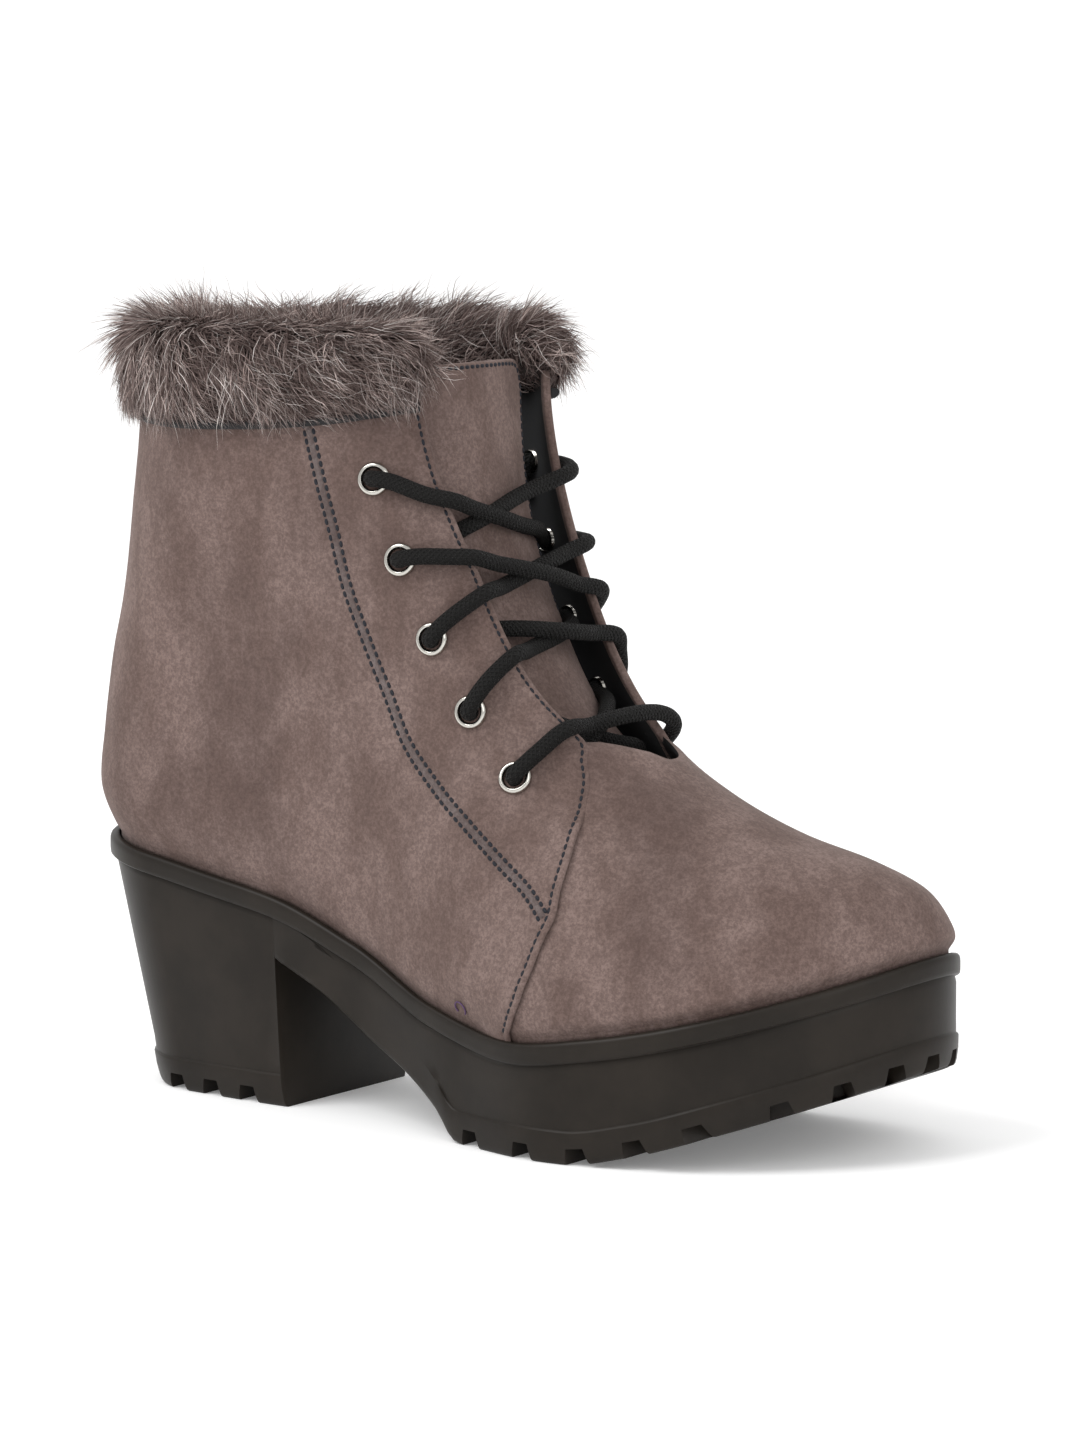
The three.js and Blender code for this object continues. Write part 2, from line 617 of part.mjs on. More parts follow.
const CUFF_EDGE = [
  { station: 30, z: 177 }, { station: 51, z: 176.3 }, { station: 73, z: 177 }, { station: 93, z: 178.8 },
  { station: 107, z: 180.9 }, { station: 125, z: 184 },
];

const CUFF_ENDS = 92;        // ahead of this station the pile stays outside the wall, clear of the tongue

function faceAt(column, height) {
  // the point of one column of the face at a height, with the level outward direction there
  const n = FACE[0].length;
  let j = FACE.length - 2;
  while (j > 0 && FACE[j][column].z > height) j -= 1;
  const low = FACE[j][column];
  const high = FACE[j + 1][column];
  const t = (height - low.z) / (high.z - low.z);
  const point = low.clone().lerp(high, t);
  const along = FACE[j][(column + 1) % n].clone().sub(FACE[j][(column + n - 1) % n]);
  const out = new THREE.Vector3(along.y, -along.x, 0).normalize();
  return { point, out };
}

function cuff() {
  const n = FACE[0].length;
  const rings = Array.from({ length: n }, (_, i) => {
    const station = FACE[FACE.length - 2][i].x;
    const edge = read(CUFF_EDGE, 'station', station, 'z');
    const stretch = (CUFF_TOP - edge) / CUFF_HEIGHT;
    return CUFF.map(({ out, rise }) => {
      const height = rise === ON_COLLAR ? COLLAR_TOP + GAP : edge + rise * stretch;
      const section = faceAt(i, Math.min(height, FACE_LIMIT));
      return section.point.clone().setZ(height).addScaledVector(section.out, out);
    });
  });
  let body = solid(skin(rings.reverse(), true));
  body = body.subtract(throatCutter());
  const ends = boxCutter(new THREE.Vector3(CUFF_ENDS, -FAR, 0), new THREE.Vector3(FAR, FAR, FACE_LIMIT));
  return largest(body.subtract(plug(WALL + GAP).intersect(ends)));
}

// ---- lace ----
const LACE_SIDES = 8;
const LACE_STEPS = 8;
const LACE_OVER = 5;         // the cord's middle above an eyelet's wall
const LACE_EDGE = 4.2;       // and above a facing's edge
const LACE_RISE = 3.4;       // how far the middle of a crossing stands out
const FLAT_RISE = 0.6;       // the share of it where both ends are over or both under
const EDGE_OUT = { forward: 0.8, aside: 0.6 };   // the way a strand stands off a facing's edge
const EDGE_SHARE = 0.2;      // a strand meets the edge this share of the way to its other eyelet's height
const UNDER_END = 0.6;       // an end that goes under a facing stops this far across the gap
const UNDER_DROP = 1.8;      // and this far behind the facing's edge
const LACING = [
  // each solid's strands, from a lateral eyelet to a medial one: over the facing there or under it, with
  // how far above its eyelets the strand crosses the facings' edges
  { name: 'lace_cross_1', strands: [
    { lateral: { way: 'over', row: 0 }, medial: { way: 'under', row: 1 }, lift: 0 },
    { lateral: { way: 'under', row: 1 }, medial: { way: 'over', row: 0 }, lift: 0 },
  ] },
  { name: 'lace_cross_2', strands: [
    { lateral: { way: 'over', row: 1 }, medial: { way: 'over', row: 2 }, lift: 0 },
    { lateral: { way: 'over', row: 2 }, medial: { way: 'over', row: 1 }, lift: 4 },
  ] },
  { name: 'lace_cross_3', strands: [
    { lateral: { way: 'over', row: 3 }, medial: { way: 'under', row: 2 }, lift: 5 },
    { lateral: { way: 'under', row: 2 }, medial: { way: 'over', row: 3 }, lift: 0 },
  ] },
  { name: 'lace_cross_4', strands: [
    { lateral: { way: 'under', row: 4 }, medial: { way: 'under', row: 3 }, lift: 5.6 },
    { lateral: { way: 'under', row: 3 }, medial: { way: 'under', row: 4 }, lift: 6 },
  ] },
  { name: 'lace_bar', strands: [
    { lateral: { way: 'over', row: 4 }, medial: { way: 'over', row: 4 }, lift: 10 },
  ] },
];

function frontAt(y, z) {
  // station of the outer face's front at a place across the boot and a height
  const found = faceTriangles(0, FACE[0].length).map((corners) => pointOver(corners, 'y', y, z));
  return Math.max(...found.filter(Boolean).map((point) => point.x));
}

function facingEdge(side, z) {
  const rise = (z - THROAT_LINE.foot[1]) / instepFrame().up.z;
  const y = read(THROAT, 'rise', rise, side < 0 ? 'lateral' : 'medial');
  return new THREE.Vector3(frontAt(y, z), y, z);
}

function strandEnd(side, { way, row }, otherRow, lift) {
  // the points of one half of a strand, from its eyelet to its facing's edge
  const { station, z } = EYELETS[row];
  const edge = facingEdge(side, THREE.MathUtils.lerp(z, EYELETS[otherRow].z, EDGE_SHARE) + lift);
  if (way === 'under') {
    return [new THREE.Vector3(edge.x - UNDER_DROP, edge.y * UNDER_END, edge.z)];
  }
  const { point, normal } = wallPoint(side, station, z);
  const out = new THREE.Vector3(EDGE_OUT.forward, side * EDGE_OUT.aside, 0);
  return [point.clone().addScaledVector(normal, LACE_OVER), edge.clone().addScaledVector(out, LACE_EDGE)];
}

function strand({ lateral, medial, lift }) {
  const near = strandEnd(-1, lateral, medial.row, lift);
  const far = strandEnd(1, medial, lateral.row, lift).reverse();
  const middle = near[near.length - 1].clone().lerp(far[0], 0.5);
  middle.x += LACE_RISE * (lateral.way === medial.way ? FLAT_RISE : 1);
  const path = new THREE.CatmullRomCurve3([...near, middle, ...far]);
  const circle = new THREE.Shape();
  circle.absarc(0, 0, LACE_DIAMETER / 2, 0, 2 * Math.PI);
  return solid(new THREE.ExtrudeGeometry(circle, {
    steps: LACE_STEPS, curveSegments: LACE_SIDES / 2, extrudePath: path, bevelEnabled: false,
  }));
}

function laceSolid({ strands }) {
  return strands.map(strand).reduce((all, body) => all.add(body));
}

// ---- materials and nodes ----
function material(colour, roughness, metalness = 0) {
  return new THREE.MeshStandardMaterial({ color: colour, roughness, metalness });
}

const SUEDE = () => material('#82706a', 0.95);
const RUBBER = () => material('#2f2b28', 0.55);
const BOARD = () => material('#1c1b1b', 0.9);
const FUR = () => material('#5c504d', 1);
const NICKEL = () => material('#c9c6c0', 0.25, 1);
const CORD = () => material('#151413', 0.8);

const boot = new THREE.Group();
boot.position.x = -HEEL_CENTRE;

function addNode(name, body, finish) {
  const mesh = new THREE.Mesh(geometryOf(body), finish);
  mesh.name = name;
  boot.add(mesh);
}

addNode('sole_unit', soleUnit(), RUBBER());
addNode('insole', insole(), BOARD());
addNode('upper', upper(), SUEDE());
addNode('tongue', tongue(), SUEDE());
addNode('fur_cuff', cuff(), FUR());
for (const [side, name] of [[-1, 'lateral'], [1, 'medial']]) {
  EYELETS.forEach((_, row) => addNode(`eyelet_${name}_${row + 1}`, eyelet(side, row), NICKEL()));
}
for (const item of LACING) addNode(item.name, laceSolid(item), CORD());

export default boot;
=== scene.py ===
"""The looks of the right snow boot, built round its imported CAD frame.

Lengths in the tables are millimetres in the shoe's own terms: a station is the distance forward of a line
just behind the heel, y is negative on the outer side, and z is the height over the ground.
"""
import json
import math

import bpy
import numpy as np
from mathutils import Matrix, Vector

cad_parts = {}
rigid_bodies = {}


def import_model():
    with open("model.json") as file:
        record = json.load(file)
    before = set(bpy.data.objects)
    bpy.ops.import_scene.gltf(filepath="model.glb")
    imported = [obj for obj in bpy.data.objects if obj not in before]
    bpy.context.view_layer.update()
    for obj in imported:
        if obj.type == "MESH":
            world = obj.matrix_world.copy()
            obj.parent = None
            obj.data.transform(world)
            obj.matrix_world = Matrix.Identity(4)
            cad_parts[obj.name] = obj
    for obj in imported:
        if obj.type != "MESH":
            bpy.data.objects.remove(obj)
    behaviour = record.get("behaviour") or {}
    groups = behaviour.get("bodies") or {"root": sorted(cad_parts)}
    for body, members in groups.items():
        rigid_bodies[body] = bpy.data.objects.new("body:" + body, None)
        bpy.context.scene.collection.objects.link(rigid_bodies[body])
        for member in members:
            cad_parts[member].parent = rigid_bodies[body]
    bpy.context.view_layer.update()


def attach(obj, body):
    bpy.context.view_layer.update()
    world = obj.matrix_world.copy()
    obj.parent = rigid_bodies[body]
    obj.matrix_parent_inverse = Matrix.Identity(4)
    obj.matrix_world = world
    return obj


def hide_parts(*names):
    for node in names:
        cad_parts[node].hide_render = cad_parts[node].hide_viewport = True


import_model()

MM = 0.001
NEAR_ZERO = 1e-9
HEEL_CENTRE = 50.0     # station of the origin
SOLE_BACK = 3.0
SOLE_TIP = 250.0
BREAST = 73.2          # station of the heel's front face
RIM_HEIGHT = 5.2
HEEL_ROUND = 28.0
TOE_ROUND = 47.0
CAP_SHARE = 6 / 22     # part of a half loop's steps that lie in each round end

PLAN = {
    "station": [3, 32, 60, 100, 140, 172, 202, 225, 250],
    "centre": [1.5, -0.5, -1.5, -2, -2.5, -2, 0.5, 6, 12.5],
    "half": [27.5, 28, 29, 30, 39.5, 47, 44.5, 42, 40],
}
RIM_TOP = {
    "station": [0, 25, 50, 75, 100, 130, 160, 185, 215, 240, 252],
    "z": [66.5, 63.5, 59.5, 55, 46, 34, 29, 32, 38.5, 46.5, 51.5],
}
UNDERSIDE = {
    "station": [73.8, 90, 107, 122, 133, 138, 141, 178, 195, 215, 235, 250],
    "z": [39, 31.5, 21, 14, 7, 1.5, 0, 0, 3, 9, 16, 22],
}
# Courses of the upper's outer face from the feather edge up: end stations, half widths at FRACTIONS of the
# length, lengths of the round ends, y of the middle line at the front, and how far it follows the rim's line.
FRACTIONS = [0.2, 0.4, 0.69, 0.88]
COURSES = {
    "z_back": [80, 95, 107, 117, 127, 137, 147, 157, 170, 183, 198],
    "z_front": [59, 66, 72.5, 78, 85.5, 95, 110, 129, 153, 177, 200],
    "back": [1.9, 3.1, 4.6, 6, 8.3, 10.3, 12.2, 13.8, 15.6, 17, 18.2],
    "front": [247.5, 243.5, 232, 214, 195, 178, 163, 150, 138, 129.5, 127],
    "rear": [30, 30.5, 30.5, 30.5, 31, 32, 33.5, 35, 36.5, 38, 39],
    "waist": [30.5, 31, 31, 31, 31.5, 32.5, 34, 35.5, 37.5, 39, 40],
    "ball": [46.3, 43, 38, 35, 32, 31, 32, 33.5, 35, 36.5, 37.5],
    "toe": [38, 34.5, 30, 27, 25.5, 26, 28, 30, 32, 33.5, 34.5],
    "cap_back": [28, 30, 31, 32, 33, 35, 37, 39, 42, 44, 45],
    "cap_front": [44, 46, 48, 46, 42, 38, 34, 31, 30, 30, 30],
    "centre": [0, 0, 0, 0, 0, 0, 0.5, 1.5, 3.5, 6.5, 8],
    "follow": [1, 0.9, 0.75, 0.6, 0.45, 0.3, 0.18, 0.08, 0, 0, 0],
}
SHAFT_BACK_CENTRE = 1.5
# Inset from the rim's edge and rise over it, for the face's two lowest rows
FEATHER_RISES = [(2.8, 0.8), (1.2, 4.0)]


# ---- numbers and tables ----
def sampled(at, run, values):
    """The rows of values at places along a run."""
    return np.stack([np.interp(at, run, column) for column in values.T], -1)


def unit(vectors):
    return vectors / np.maximum(np.linalg.norm(vectors, axis=-1, keepdims=True), NEAR_ZERO)


def run_along(line):
    """How far along a line each of its points is."""
    return np.concatenate([[0], np.cumsum(np.linalg.norm(np.diff(line, axis=0), axis=1))])


def columns(table, *keys):
    return np.stack([table[key] for key in keys], -1)


def read(table, at, value):
    """A smooth (monotone cubic) reading of one column of a table, at places in its first column."""
    x = np.array(next(iter(table.values())), float)
    y = np.array(table[value], float)
    slope = np.diff(y) / np.diff(x)
    before, after = slope[:-1], slope[1:]
    total = np.where(before + after == 0, 1.0, before + after)
    inner = np.where(before * after > 0, 2 * before * after / total, 0.0)
    tangent = np.concatenate([slope[:1], inner, slope[-1:]])
    at = np.clip(at, x[0], x[-1])
    i = np.clip(np.searchsorted(x, at, side="right") - 1, 0, len(x) - 2)
    h = x[i + 1] - x[i]
    t = (at - x[i]) / h
    low = (2 * t**3 - 3 * t**2 + 1) * y[i] + (t**3 - 2 * t**2 + t) * h * tangent[i]
    high = (3 * t**2 - 2 * t**3) * y[i + 1] + (t**3 - t**2) * h * tangent[i + 1]
    return low + high


def rim_top(station):
    return read(RIM_TOP, station, "z")


def plan_centre(station):
    return read(PLAN, station, "centre")


def plan_half(station):
    return read(PLAN, station, "half")


def round_end(u):
    return np.sqrt(np.clip(1 - (1 - np.clip(u, 0, 1)) ** 2, 0, 1))


def smooth(low, high, x):
    t = np.clip((x - low) / (high - low), 0, 1)
    return t * t * (3 - 2 * t)


# ---- the upper's outer face ----
# A place on the face is (u, v). u runs round the boot: 0 at the back, 1 at the toe, 2 at the back again, with
# the outer side first. v counts the rows up from the feather edge.
def stations_of(w, back, front, cap_back, cap_front):
    """Stations at parts w of a half loop from back to front, closer together in its round ends."""
    share = w / CAP_SHARE
    near = back + cap_back * (1 - np.cos(np.clip(share, 0, 1) * np.pi / 2))
    share = (1 - w) / CAP_SHARE
    far = front - cap_front * (1 - np.cos(np.clip(share, 0, 1) * np.pi / 2))
    t = (w - CAP_SHARE) / (1 - 2 * CAP_SHARE)
    middle = back + cap_back + t * (front - cap_front - back - cap_back)
    return np.where(w < CAP_SHARE, near, np.where(w > 1 - CAP_SHARE, far, middle))


def half_loop(u):
    u = np.mod(u, 2)
    return np.where(u <= 1, u, 2 - u), np.where(u <= 1, -1.0, 1.0)


def rim_points(u, inset, rise):
    w, side = half_loop(u)
    s = stations_of(w, SOLE_BACK, SOLE_TIP, HEEL_ROUND, TOE_ROUND)
    scale = (SOLE_TIP - SOLE_BACK - 2 * inset) / (SOLE_TIP - SOLE_BACK)
    around = round_end((s - SOLE_BACK) / HEEL_ROUND) * round_end((SOLE_TIP - s) / TOE_ROUND)
    x = SOLE_BACK + inset + (s - SOLE_BACK) * scale
    y = plan_centre(s) + side * (plan_half(s) - inset) * around
    return np.stack([x, y, rim_top(s) + rise], -1)


def course_points(u, k):
    c = {name: column[k] for name, column in COURSES.items()}
    w, side = half_loop(u)
    s = stations_of(w, c["back"], c["front"], c["cap_back"], c["cap_front"])
    t = (s - c["back"]) / (c["front"] - c["back"])
    widths = {"at": FRACTIONS, "half": [c[name] for name in ("rear", "waist", "ball", "toe")]}
    around = round_end((s - c["back"]) / c["cap_back"]) * round_end((c["front"] - s) / c["cap_front"])
    shaft = SHAFT_BACK_CENTRE + t * (c["centre"] - SHAFT_BACK_CENTRE)
    centre = shaft + c["follow"] * (plan_centre(s) - shaft)
    start = c["z_back"] - c["follow"] * rim_top(c["back"])
    end = c["z_front"] - c["follow"] * rim_top(c["front"])
    z = c["follow"] * rim_top(s) + start + t * (end - start)
    return np.stack([s, centre + side * read(widths, t, "half") * around, z], -1)


def curve(four, t):
    """A centripetal curve from the second to the third of four points, or rows of them, at t from 0 to 1."""
    p0, p1, p2, p3 = four
    d0, d1, d2 = (np.maximum(np.linalg.norm(b - a, axis=-1, keepdims=True), NEAR_ZERO) ** 0.5
                  for a, b in ((p0, p1), (p1, p2), (p2, p3)))
    t1 = ((p1 - p0) / d0 - (p2 - p0) / (d0 + d1) + (p2 - p1) / d1) * d1
    t2 = ((p2 - p1) / d1 - (p3 - p1) / (d1 + d2) + (p3 - p2) / d2) * d1
    return p1 + t1 * t + (3 * (p2 - p1) - 2 * t1 - t2) * t**2 + (2 * (p1 - p2) + t1 + t2) * t**3


def face(u, v):
    """Points of the outer face: a curve through its rows, at v."""
    u, v = np.broadcast_arrays(np.asarray(u, float), np.asarray(v, float))
    shape = u.shape
    u, v = u.ravel(), v.ravel()
    rows = [rim_points(u, inset, rise) for inset, rise in FEATHER_RISES]
    rows += [course_points(u, k) for k in range(len(COURSES["back"]))]
    rows = [2 * rows[0] - rows[1], *rows, 2 * rows[-1] - rows[-2]]
    rows = np.stack(rows)
    seg = np.clip(np.floor(v).astype(int), 0, len(rows) - 4)
    t = (v - seg)[:, None]
    every = np.arange(len(u))
    return curve([rows[seg + k, every] for k in range(4)], t).reshape(shape + (3,))


def face_frame(u, v):
    """Points, outward normals and the step along u, in mm per unit of u."""
    step_u, step_v = 0.004, 0.05
    along = (face(u + step_u, v) - face(u - step_u, v)) / (2 * step_u)
    up = face(u, v + step_v) - face(u, v - step_v)
    return face(u, v), unit(np.cross(along, up)), along


GRID_U = np.linspace(0, 2, 401)
GRID_V = np.linspace(0, 12, 121)
GRID = face(GRID_U[:, None], GRID_V[None, :])


def locate(points):
    """The (u, v) of the places on the face nearest to points."""
    points = np.atleast_2d(np.asarray(points, float))
    nearest = [((GRID - point) ** 2).sum(-1).argmin() for point in points]
    i, j = np.unravel_index(nearest, GRID.shape[:2])
    u, v = GRID_U[i], GRID_V[j]
    steps = np.linspace(-1, 1, 5)
    every = np.arange(len(points))
    reach_u, reach_v = GRID_U[1], GRID_V[1]
    for _ in range(6):
        us = u[:, None] + reach_u * steps
        vs = np.clip(v[:, None] + reach_v * steps, 0, GRID_V[-1])
        away = ((face(us[:, :, None], vs[:, None, :]) - points[:, None, None]) ** 2).sum(-1)
        best = away.reshape(len(points), -1).argmin(1)
        u, v = us[every, best // 5], vs[every, best % 5]
        reach_u, reach_v = reach_u / 2, reach_v / 2
    return np.stack([np.mod(u, 2), v], -1)


# ---- meshes ----
def to_world(points):
    world = np.array(points, float)
    world[..., 0] -= HEEL_CENTRE
    return world * MM


def new_mesh(name, points, faces):
    mesh = bpy.data.meshes.new(name)
    mesh.from_pydata(points.tolist(), [], [list(map(int, face_points)) for face_points in faces])
    return mesh


def put_in_scene(name, data):
    thing = bpy.data.objects.new(name, data)
    bpy.context.scene.collection.objects.link(thing)
    return thing


def new_piece(name, points, faces, materials, slots=None, sharp=None):
    """A mesh object from points in shoe millimetres."""
    mesh = new_mesh(name, to_world(points), faces)
    for material in materials:
        mesh.materials.append(material)
    if slots is not None:
        mesh.polygons.foreach_set("material_index", np.asarray(slots, np.int32))
    mesh.shade_smooth()
    if sharp is not None:
        mesh.set_sharp_from_angle(angle=math.radians(sharp))
    return put_in_scene(name, mesh)


def add_piece(name, points, faces, materials, slots=None, sharp=None):
    """A new piece that rides on the boot's one body."""
    piece = new_piece(name, points, faces, materials, slots, sharp)
    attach(piece, "root")
    return piece


def grid_faces(rows, columns, first=0, flip=False, around=False):
    """Quads of a grid of points stored row by row, joined round its columns if around is set."""
    wide = columns if around else columns - 1
    i, j = np.meshgrid(np.arange(rows - 1), np.arange(wide), indexing="ij")
    k = (j + 1) % columns
    quads = np.stack([i * columns + j, i * columns + k, (i + 1) * columns + k, (i + 1) * columns + j], -1)
    quads = quads.reshape(-1, 4) + first
    return quads[:, ::-1] if flip else quads


def capped_faces(rows, columns, flip=False):
    """The faces of a tube of rings with a cap at each end."""
    first = np.arange(columns)
    caps = [first[::-1], (rows - 1) * columns + first]
    return [*grid_faces(rows, columns, flip=flip, around=True), *(cap[::-1] if flip else cap for cap in caps)]


def closed_sheet(outer, inner):
    """Points and faces of a sheet with an outer and an inner side, and how many faces are the outer's."""
    rows, columns = outer.shape[:2]
    n = rows * columns
    points = np.concatenate([outer.reshape(-1, 3), inner.reshape(-1, 3)])
    ids = np.arange(n).reshape(rows, columns)
    border = np.concatenate([ids[0, :], ids[1:, -1], ids[-1, -2::-1], ids[-2:0:-1, 0]])
    after = np.roll(border, -1)
    edge = np.stack([after, border, border + n, after + n], -1)
    faces = np.concatenate([grid_faces(rows, columns), edge, grid_faces(rows, columns, n, flip=True)])
    return points, faces, (rows - 1) * (columns - 1) + len(edge)


def add_sheet(name, outer, inner, outside, inside, turned=0):
    """A sheet whose outside is turned over its side edges by a number of columns."""
    points, faces, count = closed_sheet(outer, inner)
    column = (np.arange(len(faces)) - count) % (outer.shape[1] - 1)
    on_back = np.arange(len(faces)) >= count
    lined = on_back & (column >= turned) & (column < outer.shape[1] - 1 - turned)
    return add_piece(name, points, faces, [outside, inside], np.where(lined, 1, 0))


def ladder_piece(name, rings, material):
    """A body through rings that run from the back along one side and back along the other, shut at both
    ends by quads across it."""
    rows, n = rings.shape[:2]
    faces = [*grid_faces(rows, n, around=True)]
    for first, flip in ((0, True), ((rows - 1) * n, False)):
        for i in range(n // 2):
            a, b, c, d = i, i + 1, (n - i - 1) % n, (n - i) % n
            corners = [first + k for k in dict.fromkeys([a, b, c, d])]
            faces.append(corners[::-1] if flip else corners)
    return new_piece(name, rings.reshape(-1, 3), faces, [material])


# ---- node trees ----
def add_node(tree, kind, sources=None, **settings):
    """A node with its settings, and its sockets linked to other sockets or given values."""
    node = tree.nodes.new(kind)
    for key, value in settings.items():
        setattr(node, key, value)
    for socket, source in (sources or {}).items():
        if hasattr(source, "is_linked"):
            tree.links.new(source, node.inputs[socket])
        else:
            node.inputs[socket].default_value = source
    return node


# ---- materials ----
def opaque(colour):
    """A colour with its alpha, or the socket that it comes from as it is."""
    return colour if hasattr(colour, "is_linked") else (*colour, 1)


class Look:
    """A material's node tree, built a node at a time."""

    def __init__(self, name, **values):
        self.material = bpy.data.materials.new(name)
        self.material.use_nodes = True
        self.tree = self.material.node_tree
        self.shader = self.tree.nodes["Principled BSDF"]
        for key, value in values.items():
            self.shader.inputs[key.replace("_", " ")].default_value = value

    def add(self, kind, sources=None, **settings):
        return add_node(self.tree, kind, sources, **settings)

    def feed(self, source, socket):
        self.tree.links.new(source, self.shader.inputs[socket])

    def place(self):
        return self.add("ShaderNodeTexCoord").outputs["Object"]

    def noise(self, scale, detail, roughness, vector=None):
        sources = {"Vector": vector or self.place(), "Scale": scale, "Detail": detail, "Roughness": roughness}
        return self.add("ShaderNodeTexNoise", sources).outputs["Fac"]

    def spread(self, value, low, high, to_low=0.0, to_high=1.0):
        sources = {"Value": value, "From Min": low, "From Max": high, "To Min": to_low, "To Max": to_high}
        return self.add("ShaderNodeMapRange", sources, interpolation_type="SMOOTHSTEP").outputs["Result"]

    def mix(self, factor, first, second):
        sources = {0: factor, 6: opaque(first), 7: opaque(second)}
        return self.add("ShaderNodeMix", sources, data_type="RGBA").outputs[2]

    def times(self, first, second, operation="MULTIPLY"):
        return self.add("ShaderNodeMath", {0: first, 1: second}, operation=operation).outputs[0]

    def bump(self, height, distance, strength, below=None):
        sources = {"Height": height, "Strength": strength, "Distance": distance * MM}
        if below is not None:
            sources["Normal"] = below
        normal = self.add("ShaderNodeBump", sources).outputs["Normal"]
        self.feed(normal, "Normal")
        return normal


SUEDE_COLOUR = (0.138, 0.0945, 0.0825)
SUEDE_LIGHT = (0.200, 0.143, 0.128)
SUEDE_DARK = (0.050, 0.032, 0.028)
NAP_TURN = (0.5, 0.7, 0.5)
NAP_STRETCH = (1.0, 1.0, 0.6)
SMUDGED, FLECKED, GRAINED = 0.34, 0.26, 0.36     # how much of the dark colour each mark lays on


def suede_look(name, colour=SUEDE_COLOUR, light=SUEDE_LIGHT):
    look = Look(name, Roughness=0.95, Sheen_Weight=0.1, Sheen_Roughness=0.5, Sheen_Tint=(0.9, 0.8, 0.75, 1),
                Specular_IOR_Level=0.12)
    brushed = {"Vector": look.place(), "Rotation": NAP_TURN, "Scale": NAP_STRETCH}
    brushed = look.add("ShaderNodeMapping", brushed).outputs[0]
    nap = look.spread(look.noise(70, 3, 0.6, brushed), 0.34, 0.66)
    tone = look.mix(nap, colour, light)
    marks = [(look.spread(look.noise(24, 3, 0.5, brushed), 0.5, 0.72), SMUDGED),
             (look.spread(look.noise(500, 3, 0.7), 0.4, 0.6), FLECKED),
             (look.spread(look.noise(1250, 2, 0.75), 0.38, 0.62), GRAINED)]
    for mark, strength in marks:
        tone = look.mix(look.times(mark, strength), tone, SUEDE_DARK)
    look.feed(tone, "Base Color")
    coarse = look.bump(look.noise(420, 3, 0.65), 0.16, 0.7)
    look.bump(look.noise(1500, 2, 0.7), 0.14, 0.9, coarse)
    return look.material


def rubber_look(name, colour, roughness):
    look = Look(name, Roughness=roughness, Specular_IOR_Level=0.16)
    cloud = look.spread(look.noise(45, 4, 0.6), 0.35, 0.7)
    look.feed(look.mix(cloud, colour, tuple(1.5 * c for c in colour)), "Base Color")
    look.bump(look.noise(900, 3, 0.6), 0.05, 0.35)
    return look.material


def plain_look(name, colour, roughness, metallic=0.0):
    return Look(name, Base_Color=(*colour, 1), Roughness=roughness, Metallic=metallic).material


def braid_look():
    """Two sets of strands that cross as they wind round the lace."""
    look = Look("lace", Base_Color=(0.0052, 0.0045, 0.0038, 1), Roughness=0.85, Specular_IOR_Level=0.3)
    uv = look.add("ShaderNodeUVMap", uv_map="braid").outputs[0]
    split = look.add("ShaderNodeSeparateXYZ", {"Vector": uv})
    strands = []
    for sign in (1, -1):
        turn = look.times(split.outputs[0], BRAID["strands"] * 2 * math.pi)
        length = look.times(split.outputs[1], sign * BRAID["turns"] * 2 * math.pi)
        strands.append(look.times(look.times(turn, length, "ADD"), 0, "SINE"))
    look.bump(look.times(*strands, "MAXIMUM"), BRAID["relief"], 1.0)
    return look.material


def fur_look(name, root, tip, start, share):
    """Hair that pales from start of its length on, most on a share of the hairs."""
    look = Look(name, Roughness=0.5, Specular_IOR_Level=0.18)
    along = look.add("ShaderNodeAttribute", attribute_name="along").outputs["Fac"]
    tone = look.add("ShaderNodeAttribute", attribute_name="tone").outputs["Fac"]
    lock = look.spread(look.noise(150, 3, 0.6), 0.36, 0.66, 0.4, 1.15)
    pale = look.times(look.spread(along, start, 1), look.spread(tone, 1 - share, 1.0, 0.1, 1.0))
    dark = look.mix(look.times(tone, 0.55), root, tuple(0.4 * c for c in root))
    look.feed(look.mix(look.times(pale, lock), dark, tip), "Base Color")
    return look.material


BRAID = {"strands": 8, "turns": 7, "relief": 0.8}     # turns in a centimetre, relief in millimetres
SUEDE = suede_look("suede")
BAND = suede_look("seam_band", (0.112, 0.088, 0.084), (0.150, 0.122, 0.118))
LINING = plain_look("lining", (0.010, 0.010, 0.011), 0.9)
RUBBER = rubber_look("rubber", (0.0125, 0.0098, 0.0075), 0.42)
THREAD = plain_look("thread", (0.005, 0.006, 0.011), 0.8)
PURPLE = plain_look("loose_thread", (0.075, 0.035, 0.095), 0.7)
NICKEL = plain_look("nickel", (0.52, 0.50, 0.46), 0.16, 1.0)
TAPE = plain_look("tape", (0.008, 0.008, 0.009), 0.8)
PILE_BASE = plain_look("fur_backing", (0.045, 0.032, 0.029), 0.9)
LACE_LOOK = braid_look()


